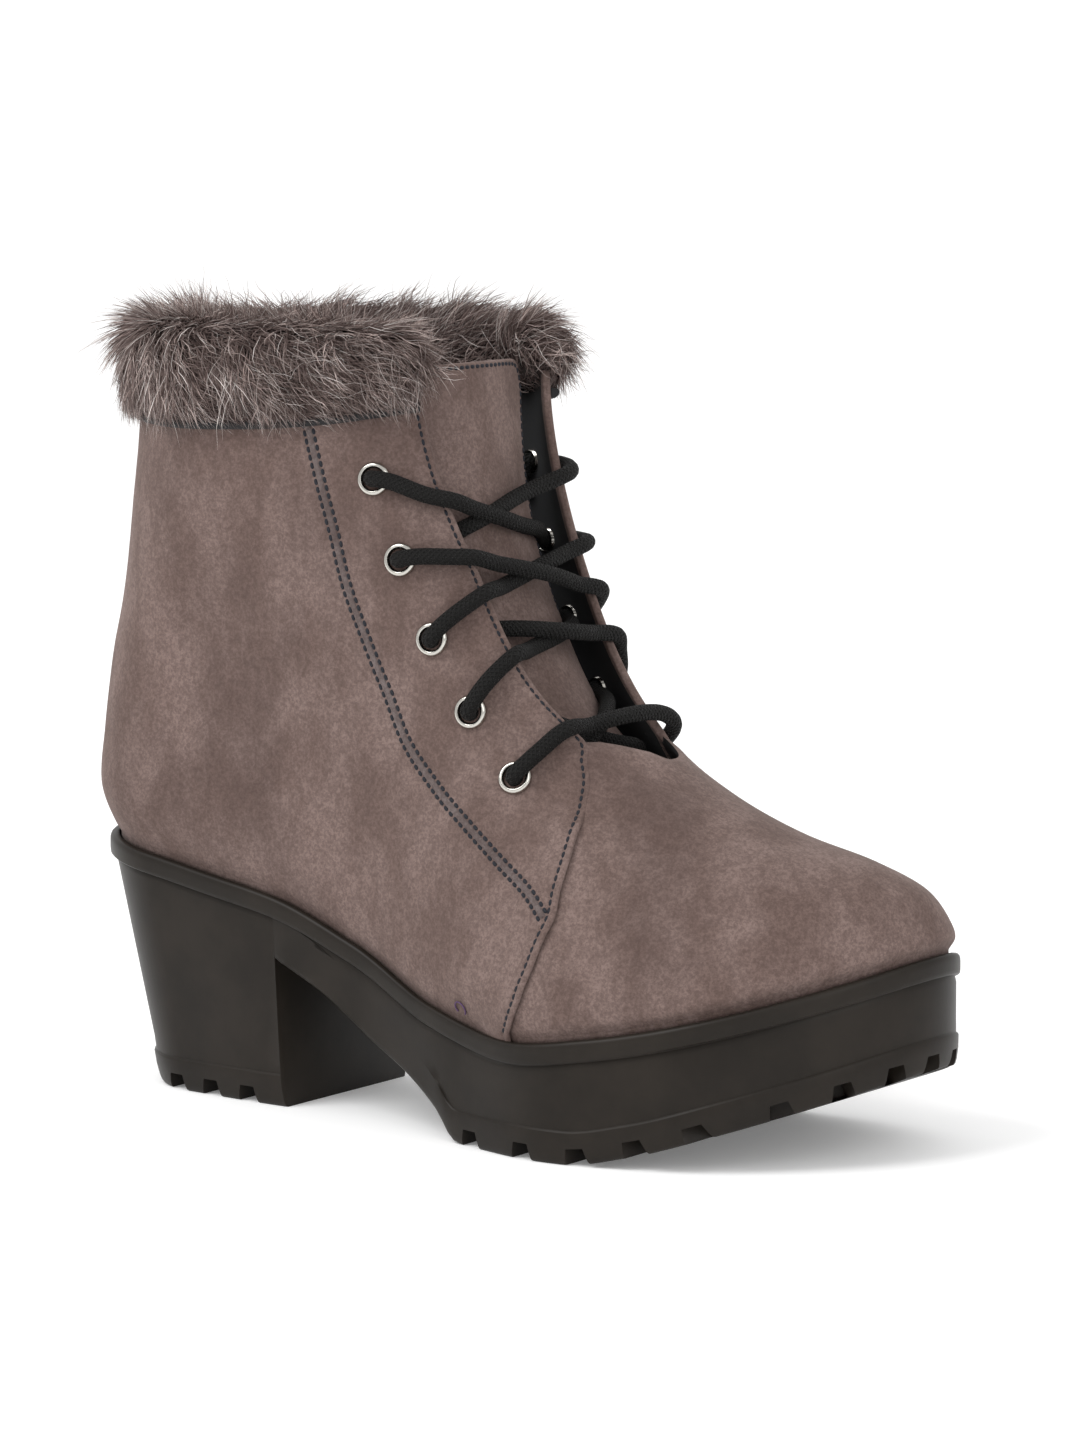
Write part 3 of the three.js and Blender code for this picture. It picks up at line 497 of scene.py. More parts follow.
# ---- sole unit ----
SIDE_INSET = 1.0         # how far the arch's sides lie inside the rim's edge
HEEL_LEAN = 0.0027       # share that the heel's length draws in for each millimetre under the rim
HEEL_WAIST = 0.06        # share that it draws in besides, by WAIST_DROP under the rim
WAIST_DROP = 10.0
HEEL_TAPER = 0.0016      # share that its width draws in for each millimetre
BREAST_STEP = 0.6
BREAST_FLARE = 2.6       # how far the breast's foot stands forward
ARCH_END = 134.0
ARCH_EASE = 8.0          # how far each way the arch's inset fades there
SOLE_RIM = {
    # inset from the rim's edge and drop below its top, from the bed over the rim to the groove under it
    "inset": [2.2, 2.2, 2.0, 1.6, 1.1, 0.6, 0.25, 0.05, 0.0, 0.0, 0.1, 0.35, 1.2, 1.35, 1.15, 0.95],
    "drop": [3.6, 0.5, 0.15, 0.0, 0.0, 0.15, 0.5, 1.1, 2.0, 4.0, 4.9, 5.2, 5.35, 5.7, 6.3, 7.2],
}
SOLE_BAND = {
    # inset and rise above the bottom edge, from the parting line to the bottom
    "inset": [0.95, 0.9, 0.45, 0.3, 0.35, 0.7, 1.0, 1.35, 1.9],
    "rise": [12.0, 8.7, 8.35, 8.0, 5.0, 2.0, 0.8, 0.25, 0.0],
}
NOTCH = {"mouth": 7.6, "root": 4.6, "depth": 4.3, "below": 2.0, "reach": 12.0, "outside": 6.0}
# Stations of the notches in the heel and the tread, and places of those round the toe, in degrees from ahead
HEEL_NOTCHES = [38, 50.5, 63.5]
TREAD_NOTCHES = [146, 165, 181.5, 197, 212]
TOE_NOTCH_ANGLES = [-57, -39, -21, -4, 14, 32, 50]
HEEL_NOTCH_Y = 26        # how far from the middle the heel's notches start
TOE_NOTCH_Y = 40         # half width of the arc that the toe's notches start from
TOE_NOTCH_PITCH = 0.3


def sole_stations():
    turn = 1 - np.cos(np.linspace(0, 1, 19) * np.pi / 2)
    back = SOLE_BACK + HEEL_ROUND * turn
    front = SOLE_TIP - TOE_ROUND * turn[::-1]
    heel = np.linspace(back[-1], BREAST, 12)[1:]
    arch = np.linspace(BREAST + BREAST_STEP, front[0], 56)[:-1]
    return np.concatenate([back, heel, arch, front])


def sole_row(stations, inset, height):
    """One loop of the unit's side; below the rim the heel block leans in toward its breast."""
    loop = []
    for side in (-1, 1):
        s = stations if side < 0 else stations[-2:0:-1]
        z = height(s)
        drawn = np.full_like(s, inset)
        ease = SIDE_INSET * (1 - smooth(ARCH_END - ARCH_EASE, ARCH_END + ARCH_EASE, s))
        in_arch = (s > BREAST) & (z < rim_top(s) - RIM_HEIGHT - 1)
        drawn = np.where(in_arch, np.maximum(drawn, ease), drawn)
        around = round_end((s - SOLE_BACK) / HEEL_ROUND) * round_end((SOLE_TIP - s) / TOE_ROUND)
        scale = (SOLE_TIP - SOLE_BACK - 2 * drawn) / (SOLE_TIP - SOLE_BACK)
        x = SOLE_BACK + drawn + (s - SOLE_BACK) * scale
        half = (plan_half(s) - drawn) * around
        heel = s <= BREAST + BREAST_STEP
        down = np.maximum(0, rim_top(s) - RIM_HEIGHT - z)
        undercut = HEEL_WAIST * np.minimum(1, down / WAIST_DROP)
        x = np.where(heel, BREAST - (BREAST - x) * (1 - HEEL_LEAN * down - undercut), x)
        half = np.where(heel, half * (1 - HEEL_TAPER * down), half)
        flare = BREAST_FLARE * np.maximum(0, 1 - z / read(UNDERSIDE, BREAST, "z"))
        x = np.where(heel & (s >= BREAST), x + flare, x)
        loop.append(np.stack([x, plan_centre(s) + side * half, z], -1))
    return np.concatenate(loop)


def sole_bottom(s):
    """The height of the sole's bottom edge over the ground."""
    return np.where(s <= BREAST, 0, read(UNDERSIDE, s, "z"))


def notch_cutter(place, heading, pitch):
    """A tapered slot that goes in from a place on the side, as eight corner points in shoe millimetres."""
    inward = np.array([math.cos(heading), math.sin(heading), 0])
    up = np.array([-math.sin(pitch), 0, math.cos(pitch)])
    along = unit(np.cross(up, inward))
    rise = unit(np.cross(inward, along))
    mouth, root, below, depth = NOTCH["mouth"] / 2, NOTCH["root"] / 2, NOTCH["below"], NOTCH["depth"]
    section = [(-mouth, -below), (mouth, -below), (root, depth), (-root, depth)]
    ends = (-NOTCH["outside"], NOTCH["reach"])
    corners = [end * inward + a * along + b * rise for end in ends for a, b in section]
    return np.array(place) + np.array(corners)


def notch_cutters():
    """The notches of the heel, of both sides of the tread, and round the toe."""
    cutters = []
    for side in (-1, 1):
        inward = -side * math.pi / 2
        for s in HEEL_NOTCHES:
            cutters.append(notch_cutter((s, float(plan_centre(s)) + side * HEEL_NOTCH_Y, 0), inward, 0))
        for s in TREAD_NOTCHES:
            slope = float(sole_bottom(s + 2) - sole_bottom(s - 2)) / 4
            y = float(plan_centre(s) + side * plan_half(s) * round_end((SOLE_TIP - s) / TOE_ROUND))
            cutters.append(notch_cutter((s, y, float(sole_bottom(s))), inward, math.atan(slope)))
    for degrees in TOE_NOTCH_ANGLES:
        angle = math.radians(degrees)
        s = SOLE_TIP - TOE_ROUND + TOE_ROUND * math.cos(angle)
        y = float(plan_centre(s)) + TOE_NOTCH_Y * math.sin(angle)
        cutters.append(notch_cutter((s, y, float(sole_bottom(s))), angle + math.pi, TOE_NOTCH_PITCH))
    return cutters


def cut(piece, cutters):
    """The cutters' boxes taken out of a piece, for good."""
    points = np.concatenate(cutters)
    box = [(0, 3, 2, 1), (4, 5, 6, 7), (0, 1, 5, 4), (1, 2, 6, 5), (2, 3, 7, 6), (3, 0, 4, 7)]
    faces = [[8 * k + i for i in quad] for k in range(len(cutters)) for quad in box]
    tool = put_in_scene("cutters", new_mesh("cutters", to_world(points), faces))
    modifier = piece.modifiers.new("notches", "BOOLEAN")
    modifier.object = tool
    modifier.operation = "DIFFERENCE"
    modifier.solver = "EXACT"
    bake(piece)
    bpy.data.objects.remove(tool)


def bake(piece):
    """The piece's mesh with its modifiers applied, and the modifiers gone."""
    graph = bpy.context.evaluated_depsgraph_get()
    mesh = bpy.data.meshes.new_from_object(piece.evaluated_get(graph), depsgraph=graph)
    piece.modifiers.clear()
    piece.data = mesh


def sole_unit():
    stations = sole_stations()
    rows = [sole_row(stations, inset, lambda s, drop=drop: rim_top(s) - drop)
            for inset, drop in zip(SOLE_RIM["inset"], SOLE_RIM["drop"])]
    rows += [sole_row(stations, inset, lambda s, rise=rise: sole_bottom(s) + rise)
             for inset, rise in zip(SOLE_BAND["inset"], SOLE_BAND["rise"])]
    piece = ladder_piece("sole", np.stack(rows[::-1]), RUBBER)
    cut(piece, notch_cutters())
    piece.data.set_sharp_from_angle(angle=math.radians(38))
    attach(piece, "root")
    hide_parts("sole_unit")


# ---- upper ----
# The front edge of the quarters, from the rim up over the vamp and then up the facings to the collar.
FRONT_EDGE = {
    "station": [161.1, 164.4, 166.6, 168.3, 170, 171.8, 171.3, 171.3, 170.7, 169.7, 168.8, 167.2, 165.4,
                163.2, 159.5, 156, 152.1, 146.9, 141.1, 133.5, 127.8, 122.1, 118.1, 116.2],
    "z": [31.5, 37.1, 42.3, 47.3, 53.8, 60.2, 66.3, 72.5, 78.6, 84.6, 87.6, 92.1, 95.2, 99.8,
          103, 106.2, 110, 116.5, 125.5, 140.2, 151.7, 164.9, 178.2, 192],
    "lateral": [-46, -47.8, -47.5, -46.4, -44.2, -41.1, -38, -34.5, -30.3, -25.3, -22.9, -19.9, -18.5, -16.5,
                -17, -17.8, -18.6, -19.4, -19.8, -20, -20.7, -21.2, -21.3, -21.5],
    "medial": [42, 43.8, 43.5, 42.4, 40.2, 37.5, 35, 32, 29, 25.5, 24, 22, 20.5, 19,
               20, 21, 22, 23, 24, 25.3, 26.3, 27.2, 28, 29],
}
THROAT_FOOT = {"station": [163.1, 167.6, 173.7, 176.8, 175.5, 171, 166.5],
               "y": [-17, -11.7, -2.9, 3, 9, 14.5, 18.5], "z": [99.2, 100, 98.1, 96.2, 96.5, 98, 99.6]}
V_TOP = 11.52           # row of the collar's edge
THROAT_ROW = 5.6        # row above which the quarters' front edges are facings
QUARTER_LIFT = 1.55     # how far a quarter stands over the vamp at its front edge
FACING_LIFT = 0.25      # how far the rest of the suede stands over the face
LAP = 9.0               # how far the quarters lap over the vamp
EDGE_STITCH = 1.9       # how far the stitched row lies inside the quarters' front edge
PULL = 0.4              # how deep the stitches pull the suede in
EDGE_ROUND = 1.0        # radius of a folded edge
FOLD_STEPS = np.array([0, 0.1, 0.3, 0.6, 1.0, 1.45, 1.9, 2.35, 3.0, 4.4])     # columns near an edge
QUARTER_ROWS = (64, 56)     # rows of points below and above the start of the facings
QUARTER_COLUMNS = 120
TURNED = 8              # columns of the quarters' inside that the suede is turned over
LINING_DEPTH = 1.9      # how far the inside lies under the face
HEM = 3.2               # how far the suede hangs down inside the sole's rim
CHANNEL = 0.45          # half width of the channel that the stitches pull in


def edge_table(side):
    """The quarters' front edge on a side as u at rows v."""
    places = locate(columns(FRONT_EDGE, "station", side, "z"))
    order = np.argsort(places[:, 1])
    u, v = places[order].T
    keep = np.concatenate([[True], np.diff(v) > 0.02])
    return {"v": v[keep], "u": u[keep]}


LATERAL_EDGE = edge_table("lateral")
MEDIAL_EDGE = edge_table("medial")


def lateral_front(v):
    return read(LATERAL_EDGE, v, "u")


def medial_front(v):
    return read(MEDIAL_EDGE, v, "u")


def edge_steps(length, count):
    """Distances from 0 to length, close together at both ends."""
    inner = np.linspace(FOLD_STEPS[-1], length - FOLD_STEPS[-1], count)[1:-1]
    return np.concatenate([FOLD_STEPS, inner, length - FOLD_STEPS[::-1]])


def folded(high, low, away, radius=EDGE_ROUND):
    """Heights of a sheet's two sides near a folded edge, away from it."""
    middle = (high + low) / 2
    swell = round_end(np.clip(away / radius, 0, 1))
    return middle + (high - middle) * swell, middle - (middle - low) * swell


CREASES = {
    # soft troughs (negative) and ridges across the suede: where, how far each way, and how deep
    "station": [20, 34, 60, 118, 128, 196, 214, 186, 150],
    "z": [128, 120, 110, 92, 76, 78, 66, 62, 60],
    "y": [-24, -30, -30, -33, -36, -20, -18, -38, -42],
    "reach": [16, 14, 26, 14, 16, 14, 14, 12, 14],
    "height": [-0.5, 0.4, -0.5, -0.45, 0.4, -0.35, 0.3, -0.35, 0.35],
}


def crease_height(points):
    """How far the creases lift the suede at points."""
    total = np.zeros(points.shape[:-1])
    places = columns(CREASES, "station", "y", "z")
    for place, reach, height in zip(places, CREASES["reach"], CREASES["height"]):
        total += height * np.exp(-((points - place) ** 2).sum(-1) / reach**2)
    return total


def quarter_heights(points, v, away):
    """Outer and inner heights of the quarters over the face."""
    lapped = 1 - smooth(THROAT_ROW - 0.4, THROAT_ROW + 0.2, v)
    near = 1 - smooth(2, LAP + 5, away)
    high = FACING_LIFT + lapped * near * (QUARTER_LIFT - FACING_LIFT)
    high = high + crease_height(points) * smooth(3, 12, away)
    high = high - PULL * np.exp(-((away - EDGE_STITCH) / CHANNEL) ** 2)
    low = np.where(away < LAP, lapped * 0.06 - (1 - lapped) * LINING_DEPTH, -LINING_DEPTH)
    return folded(high, low, away)


def quarters():
    facings = THROAT_ROW + 0.6
    rows = [np.linspace(0, facings, QUARTER_ROWS[0]), np.linspace(facings, V_TOP, QUARTER_ROWS[1])[1:]]
    v = np.concatenate(rows)
    u, away = [], []
    for row in v:
        rough = np.linspace(medial_front(row) - 2, lateral_front(row), QUARTER_COLUMNS // 2)
        run = run_along(face(rough, row))
        steps = edge_steps(run[-1], QUARTER_COLUMNS)
        u.append(np.interp(steps, run, rough))
        away.append(np.minimum(steps, run[-1] - steps))
    u, away = np.array(u), np.array(away)
    v = np.broadcast_to(v[:, None], u.shape)
    points, normals, _ = face_frame(u, v)
    heights = quarter_heights(points, v, away)
    outer, inner = (with_hem(points + normals * height[..., None]) for height in heights)
    piece = add_sheet("quarters", outer, inner, SUEDE, LINING, TURNED)
    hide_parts("upper")


def with_hem(points):
    """A row more at the bottom, turned down inside the sole's rim."""
    hem = points[:1].copy()
    hem[..., 2] -= HEM
    return np.concatenate([hem, points])


VAMP_COLUMNS, VAMP_ROWS = 130, 64


def vamp():
    foot = locate(columns(THROAT_FOOT, "station", "y", "z"))
    foot_table = {"u": foot[:, 0], "v": foot[:, 1]}
    t = np.linspace(0, 1, VAMP_COLUMNS)
    ends = lateral_front(foot[0, 1]), medial_front(foot[-1, 1])
    u_top = ends[0] - 0.02 + t * (ends[1] - ends[0] + 0.04)
    top = read(foot_table, u_top, "v")
    per_row = np.linalg.norm(face(u_top, top) - face(u_top, top - 0.2), axis=1) / 0.2
    u, v, away = [], [], []
    for row in top * np.linspace(0, 1, VAMP_ROWS)[:, None]:
        left, right = lateral_front(row), medial_front(row)
        _, _, along = face_frame(left, row)
        under = LAP / np.linalg.norm(along, axis=1)
        u.append(left - under + t * (right - left + 2 * under))
        v.append(row)
        away.append((top - row) * per_row)
    u, v, away = np.array(u), np.array(v), np.array(away)
    points, normals, _ = face_frame(u, v)
    high = crease_height(points) - 0.08
    high, low = folded(high, np.full_like(high, -LINING_DEPTH), away)
    outer, inner = (with_hem(points + normals * height[..., None]) for height in (high, low))
    piece = add_sheet("vamp", outer, inner, SUEDE, LINING)
    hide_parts("upper")


# ---- tongue ----
TONGUE = {
    "row": [0, 1, 2, 3, 4, 5, 6, 7, 8, 9],
    "station": [184, 172, 160, 148.5, 138, 128.5, 121.5, 118.5, 117.5, 117.2],
    "z": [84.5, 89.5, 96, 106.5, 123, 144, 166, 184, 190.5, 193],
    "half": [17, 20, 23, 24, 24, 24, 24.5, 24.5, 23.5, 20],
    "centre": [0, 0, -1, -2, -2.5, -2.5, -0.5, 1.5, 2, 2],
    "bow": [4.5, 6, 7, 7, 6.5, 6, 5.5, 5, 4.4, 3],
}
TONGUE_THICKNESS = 2.6
TONGUE_ROW = 2.6         # height of a row near the tongue's top
TONGUE_ROUND = 1.3       # radius of its folded edge
TONGUE_LIFT = 0.15


def tongue_points(across, row, depth):
    """Points of the tongue, across from -1 to 1, at a row and a height over its outside."""
    here, below, above = ({key: read(TONGUE, row + step, key) for key in TONGUE} for step in (0, -0.1, 0.1))
    forward, up = (above[key] - below[key] for key in ("station", "z"))
    out = unit(np.stack([up, np.zeros_like(row), -forward], -1))
    middle = np.stack([here["station"], here["centre"] + across * here["half"], here["z"]], -1)
    return middle + out * (depth - here["bow"] * across**2)[..., None]


def tongue():
    top = TONGUE["row"][-1]
    across, row = np.meshgrid(np.sin(np.linspace(-1, 1, 49) * np.pi / 2), np.linspace(0, top, 90))
    away = np.minimum((1 - np.abs(across)) * read(TONGUE, row, "half"), (top - row) * TONGUE_ROW)
    heights = folded(np.full_like(row, TONGUE_LIFT), np.full_like(row, -TONGUE_THICKNESS), away, TONGUE_ROUND)
    outer, inner = (tongue_points(across, row, height) for height in heights)
    piece = add_sheet("tongue_pad", outer, inner, SUEDE, LINING)
    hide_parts("tongue")


# ---- copies along paths and over faces ----
class Tree:
    """A Geometry Nodes tree that takes a mesh and named inputs, and ends as real faces with one finish."""

    def __init__(self, name, **inputs):
        self.tree = bpy.data.node_groups.new(name, "GeometryNodeTree")
        sockets = self.tree.interface
        sockets.new_socket("Geometry", in_out="OUTPUT", socket_type="NodeSocketGeometry")
        for key, kind in {"Geometry": "Geometry", **inputs, "Finish": "Material"}.items():
            sockets.new_socket(key.replace("_", " "), in_out="INPUT", socket_type="NodeSocket" + kind)
        self.given = self.tree.nodes.new("NodeGroupInput").outputs

    def add(self, kind, sources=None, **settings):
        return add_node(self.tree, kind, sources, **settings)

    def named(self, name, kind):
        return self.add("GeometryNodeInputNamedAttribute", {"Name": name}, data_type=kind).outputs[0]

    def turned(self, away, heading):
        """The rotation that takes z away from the face and x along its heading."""
        return self.add("FunctionNodeAxesToRotation", {0: away, 1: heading}, primary_axis="Z",
                        secondary_axis="X").outputs[0]

    def scaled(self, vector, factor):
        node = self.add("ShaderNodeVectorMath", {1: vector}, operation="MULTIPLY")
        self.tree.links.new(factor, node.inputs[0])
        return node.outputs[0]

    def product(self, first, second):
        return self.add("ShaderNodeMath", {0: first, 1: second}, operation="MULTIPLY").outputs[0]

    def finish(self, copies):
        real = self.add("GeometryNodeRealizeInstances", {"Geometry": copies})
        sources = {"Geometry": real.outputs[0], "Material": self.given["Finish"]}
        made = self.add("GeometryNodeSetMaterial", sources)
        self.add("NodeGroupOutput", {0: made.outputs[0]})
        return self.tree


def copies_tree():
    """Copies of one object on a mesh's points, turned to their away and heading vectors."""
    tree = Tree("copies", Copied="Object")
    rotation = tree.turned(tree.named("away", "FLOAT_VECTOR"), tree.named("heading", "FLOAT_VECTOR"))
    copied = tree.add("GeometryNodeObjectInfo", {"Object": tree.given["Copied"]})
    points = tree.add("GeometryNodeMeshToPoints", {"Mesh": tree.given["Geometry"]})
    copies = tree.add("GeometryNodeInstanceOnPoints", {
        "Points": points.outputs[0], "Instance": copied.outputs["Geometry"], "Rotation": rotation})
    return tree.finish(copies.outputs[0])


def fur_tree():
    """Hairs picked from a collection, over a mesh's faces, lying the way of its comb vectors."""
    tree = Tree("fur", Hairs="Collection", Per_Square_Metre="Float", Shortest="Float", Longest="Float",
                Stray="Float", Seed="Int")
    given = tree.given
    dense = tree.product(tree.named("growth", "FLOAT"), given["Per Square Metre"])
    points = tree.add("GeometryNodeDistributePointsOnFaces", {
        "Mesh": given["Geometry"], "Density": dense, "Seed": given["Seed"]})
    lying = tree.turned(points.outputs["Normal"], tree.named("comb", "FLOAT_VECTOR"))
    least, most = (tree.scaled(swing, given["Stray"]) for swing in (-STRAY_SWING, STRAY_SWING))
    swing = tree.add("FunctionNodeRandomValue", {0: least, 1: most, "Seed": given["Seed"]},
                     data_type="FLOAT_VECTOR")
    turned = tree.add("FunctionNodeRotateRotation", {"Rotation": lying, "Rotate By": swing.outputs[0]},
                      rotation_space="LOCAL")
    size = tree.add("FunctionNodeRandomValue", {
        2: given["Shortest"], 3: given["Longest"], "Seed": given["Seed"]}, data_type="FLOAT")
    hairs = tree.add("GeometryNodeCollectionInfo", {
        "Collection": given["Hairs"], "Separate Children": True, "Reset Children": True})
    grown = tree.add("GeometryNodeInstanceOnPoints", {
        "Points": points.outputs["Points"], "Instance": hairs.outputs[0], "Pick Instance": True,
        "Rotation": turned.outputs[0], "Scale": tree.product(tree.named("reach", "FLOAT"), size.outputs[1])})
    tone = tree.add("FunctionNodeRandomValue", {"Seed": TONE_SEED}, data_type="FLOAT")
    toned = tree.add("GeometryNodeStoreNamedAttribute", {
        "Geometry": grown.outputs[0], "Name": "tone", "Value": tone.outputs[1]}, data_type="FLOAT",
        domain="INSTANCE")
    return tree.finish(toned.outputs[0])


def run_tree(name, mesh, tree, values):
    """A piece made by a tree from a mesh, as a plain mesh."""
    piece = put_in_scene(name, mesh)
    modifier = piece.modifiers.new(tree.name, "NODES")
    modifier.node_group = tree
    for item in tree.interface.items_tree:
        if item.in_out == "INPUT" and item.name in values:
            modifier[item.identifier] = values[item.name]
    bake(piece)
    piece.data.materials.clear()
    piece.data.materials.append(values["Finish"])
    piece.data.polygons.foreach_set("material_index", np.zeros(len(piece.data.polygons), np.int32))
    piece.data.shade_smooth()
    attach(piece, "root")
    return piece


def store(mesh, name, values, kind="FLOAT"):
    attribute = mesh.attributes.new(name, kind, "POINT")
    key = "value" if kind == "FLOAT" else "vector"
    attribute.data.foreach_set(key, np.asarray(values, np.float32).ravel())


def place_copies(name, points, away, heading, model, finish):
    """Copies of a model mesh at points in shoe millimetres."""
    mesh = new_mesh(name, to_world(points), [])
    store(mesh, "away", away, "FLOAT_VECTOR")
    store(mesh, "heading", heading, "FLOAT_VECTOR")
    copied = put_in_scene(name + "_model", model)
    piece = run_tree(name, mesh, COPIES, {"Copied": copied, "Finish": finish})
    bpy.data.objects.remove(copied)
    return piece


STRAY_SWING = np.array([0.25, 0.35, 1.0])    # the most that hairs stray about each axis, in radians
TONE_SEED = 7
COPIES = copies_tree()
FUR = fur_tree()


def turned_mesh(name, profile, sides):
    """A closed ring turned round z from a profile of (radius, height) in millimetres."""
    angle = np.arange(sides) * 2 * np.pi / sides
    rings = [np.stack([r * np.cos(angle), r * np.sin(angle), np.full(sides, h)], -1) for r, h in profile]
    faces = grid_faces(len(rings), sides, around=True)
    last = (len(rings) - 1) * sides
    k = np.arange(sides)
    close = np.stack([last + k, last + (k + 1) % sides, (k + 1) % sides, k], -1)
    return new_mesh(name, np.concatenate(rings) * MM, [*faces, *close])


def tube(points, radius, sides):
    """Points and faces of a round tube along a line, with one twist-free frame carried along it."""
    tangents = unit(np.gradient(points, axis=0))
    normal = unit(np.cross(tangents[0], [0.0, 0.0, 1.0]))
    rings, angle = [], np.arange(sides) * 2 * np.pi / sides
    for point, tangent in zip(points, tangents):
        normal = unit(normal - tangent * (normal @ tangent))
        other = np.cross(tangent, normal)
        rings.append(point + radius * (np.cos(angle)[:, None] * normal + np.sin(angle)[:, None] * other))
    return np.concatenate(rings), capped_faces(len(points), sides)


def smooth_line(points, step):
    """A smooth curve through points, at even steps."""
    points = np.asarray(points, float)
    padded = np.concatenate([2 * points[:1] - points[1:2], points, 2 * points[-1:] - points[-2:-1]])
    t = np.linspace(0, 1, 24, endpoint=False)[:, None]
    line = [curve(padded[k:k + 4], t) for k in range(len(points) - 1)]
    line = np.concatenate([*line, points[-1:]])
    run = run_along(line)
    at = np.linspace(0, run[-1], max(2, int(round(run[-1] / step)) + 1))
    return sampled(at, run, line)


# ---- stitches ----
STITCH = {"pitch": 2.1, "length": 1.7, "width": 1.0, "flat": 0.6, "sink": 0.15,
          "along": [-1, -0.8, -0.3, 0.3, 0.8, 1], "girth": [0.25, 0.75, 1, 1, 0.75, 0.25]}
SEAM = {
    # middle of the double seam, from the collar to the quarter's front edge, on the outer side
    "station": [87.5, 89.1, 92.8, 97.1, 101.1, 106.8, 112.7, 119.8, 131, 141, 153.2, 162.7, 169],
    "y": [-34, -33.5, -32.5, -31.6, -31, -30.2, -29.9, -31.1, -33.4, -35.3, -37.5, -39.6, -42],
    "z": [185, 177.7, 164.3, 151, 137.6, 124.3, 111.8, 98.2, 87.5, 80.1, 71.4, 65.1, 59.8],
}
EDGE_ROW = {"start": 0.6, "points": 150, "lift": 0.12}
SEAM_HALF = 1.3         # how far each row of the seam is from its middle
SEAM_BAND = {"across": [-1, -0.85, -0.45, 0, 0.45, 0.85, 1],
             "rise": [-0.15, 0.12, 0.3, 0.34, 0.3, 0.12, -0.15]}
BAND_HALF = 0.72 * SEAM_HALF
BAND_DEPTH = 0.4
SHAFT_MIDDLE = 0.2      # how much of the sole's own sweep the middle of the shaft has


def on_quarter(line, lift):
    """A line of points moved onto the quarters' outside and lifted off it, with the face's normals."""
    u, v = locate(line).T
    points, normals, along = face_frame(u, v)
    away = np.maximum(lateral_front(v) - u, u - medial_front(v)) * np.linalg.norm(along, axis=1)
    high, _ = quarter_heights(points, v, np.maximum(away, 0.3))
    return points + normals * (high + lift)[:, None], normals


def stitch_model():
    """One stitch along x: a flat round body whose ends sink into the suede."""
    half, width = STITCH["length"] / 2, STITCH["width"] / 2
    turn = np.arange(6) * np.pi / 3
    rings = [np.stack([np.full(6, half * x), width * r * np.cos(turn),
                       STITCH["flat"] * width * r * np.sin(turn) - STITCH["sink"] * x**2], -1)
             for x, r in zip(STITCH["along"], STITCH["girth"])]
    return new_mesh("stitch", np.concatenate(rings) * MM, capped_faces(len(rings), len(turn)))


def stitch_rows(name, lines):
    """Stitches at an even pitch along lines, each a pair of points and normals."""
    rows = []
    for line, normals in lines:
        run = run_along(line)
        at = np.arange(STITCH["pitch"] / 2, run[-1], STITCH["pitch"])
        rows.append([sampled(at, run, values) for values in (line, normals, np.gradient(line, axis=0))])
    places, away, heading = (np.concatenate(part) for part in zip(*rows))
    piece = place_copies(name, places, unit(away), unit(heading), stitch_model(), THREAD)


def seam_line(side):
    """The seam's middle, which on the inner side is mirrored over the middle of the shaft."""
    line = smooth_line(columns(SEAM, "station", "y", "z"), 1.2)
    if side > 0:
        line[:, 1] = 2 * SHAFT_MIDDLE * plan_centre(line[:, 0]) - line[:, 1]
    return line


def seams():
    rows = []
    for side, name in ((-1, "outer"), (1, "inner")):
        middle, normals = on_quarter(seam_line(side), 0.0)
        across = unit(np.cross(normals, np.gradient(middle, axis=0)))
        rows += [on_quarter(middle + across * way * SEAM_HALF, 0.05) for way in (-1, 1)]
        seam_band("seam_band_" + name, middle, across * BAND_HALF)
    stitch_rows("seam_stitches", rows)


def seam_band(name, middle, across):
    """The narrow raised band between the seam's two rows."""
    places = [middle + across * step for step in SEAM_BAND["across"]]
    outer = [on_quarter(place, rise)[0] for place, rise in zip(places, SEAM_BAND["rise"])]
    inner = [on_quarter(place, -BAND_DEPTH)[0] for place in places]
    piece = add_sheet(name, np.array(outer), np.array(inner), BAND, BAND)


def edge_stitches():
    """A row inside each front edge of the quarters, from the rim to the collar."""
    rows = []
    v = np.linspace(EDGE_ROW["start"], V_TOP, EDGE_ROW["points"])
    for front, sign in ((lateral_front, -1), (medial_front, 1)):
        _, _, along = face_frame(front(v), v)
        points, normals, _ = face_frame(front(v) + sign * EDGE_STITCH / np.linalg.norm(along, axis=1), v)
        high, _ = quarter_heights(points, v, np.full_like(v, EDGE_STITCH))
        rows.append((points + normals * (high + EDGE_ROW["lift"])[:, None], normals))
    stitch_rows("edge_stitches", rows)


TONGUE_SEAM = {
    # the row inside the tongue's top edge, round both corners, in shares of the half width and in rows
    "across": [-0.925, -0.925, -0.92, -0.86, -0.7, -0.3, 0.3, 0.7, 0.86, 0.92, 0.925, 0.925],
    "row": [4.4, 6.5, 7.6, 8.2, 8.4, 8.42, 8.42, 8.4, 8.2, 7.6, 6.5, 4.4],
}
TONGUE_SPAN = np.array([24, 3])      # about how many millimetres a share and a row are
TONGUE_STEP = 0.02


def tongue_stitches():
    across, row = (smooth_line(columns(TONGUE_SEAM, "across", "row") * TONGUE_SPAN, 0.8) / TONGUE_SPAN).T
    height = np.full_like(row, 0.2)
    points = tongue_points(across, row, height)
    sideways = tongue_points(across + TONGUE_STEP, row, height) - points
    upward = tongue_points(across, row + TONGUE_STEP, height) - points
    stitch_rows("tongue_stitches", [(points, unit(np.cross(sideways, upward)))])


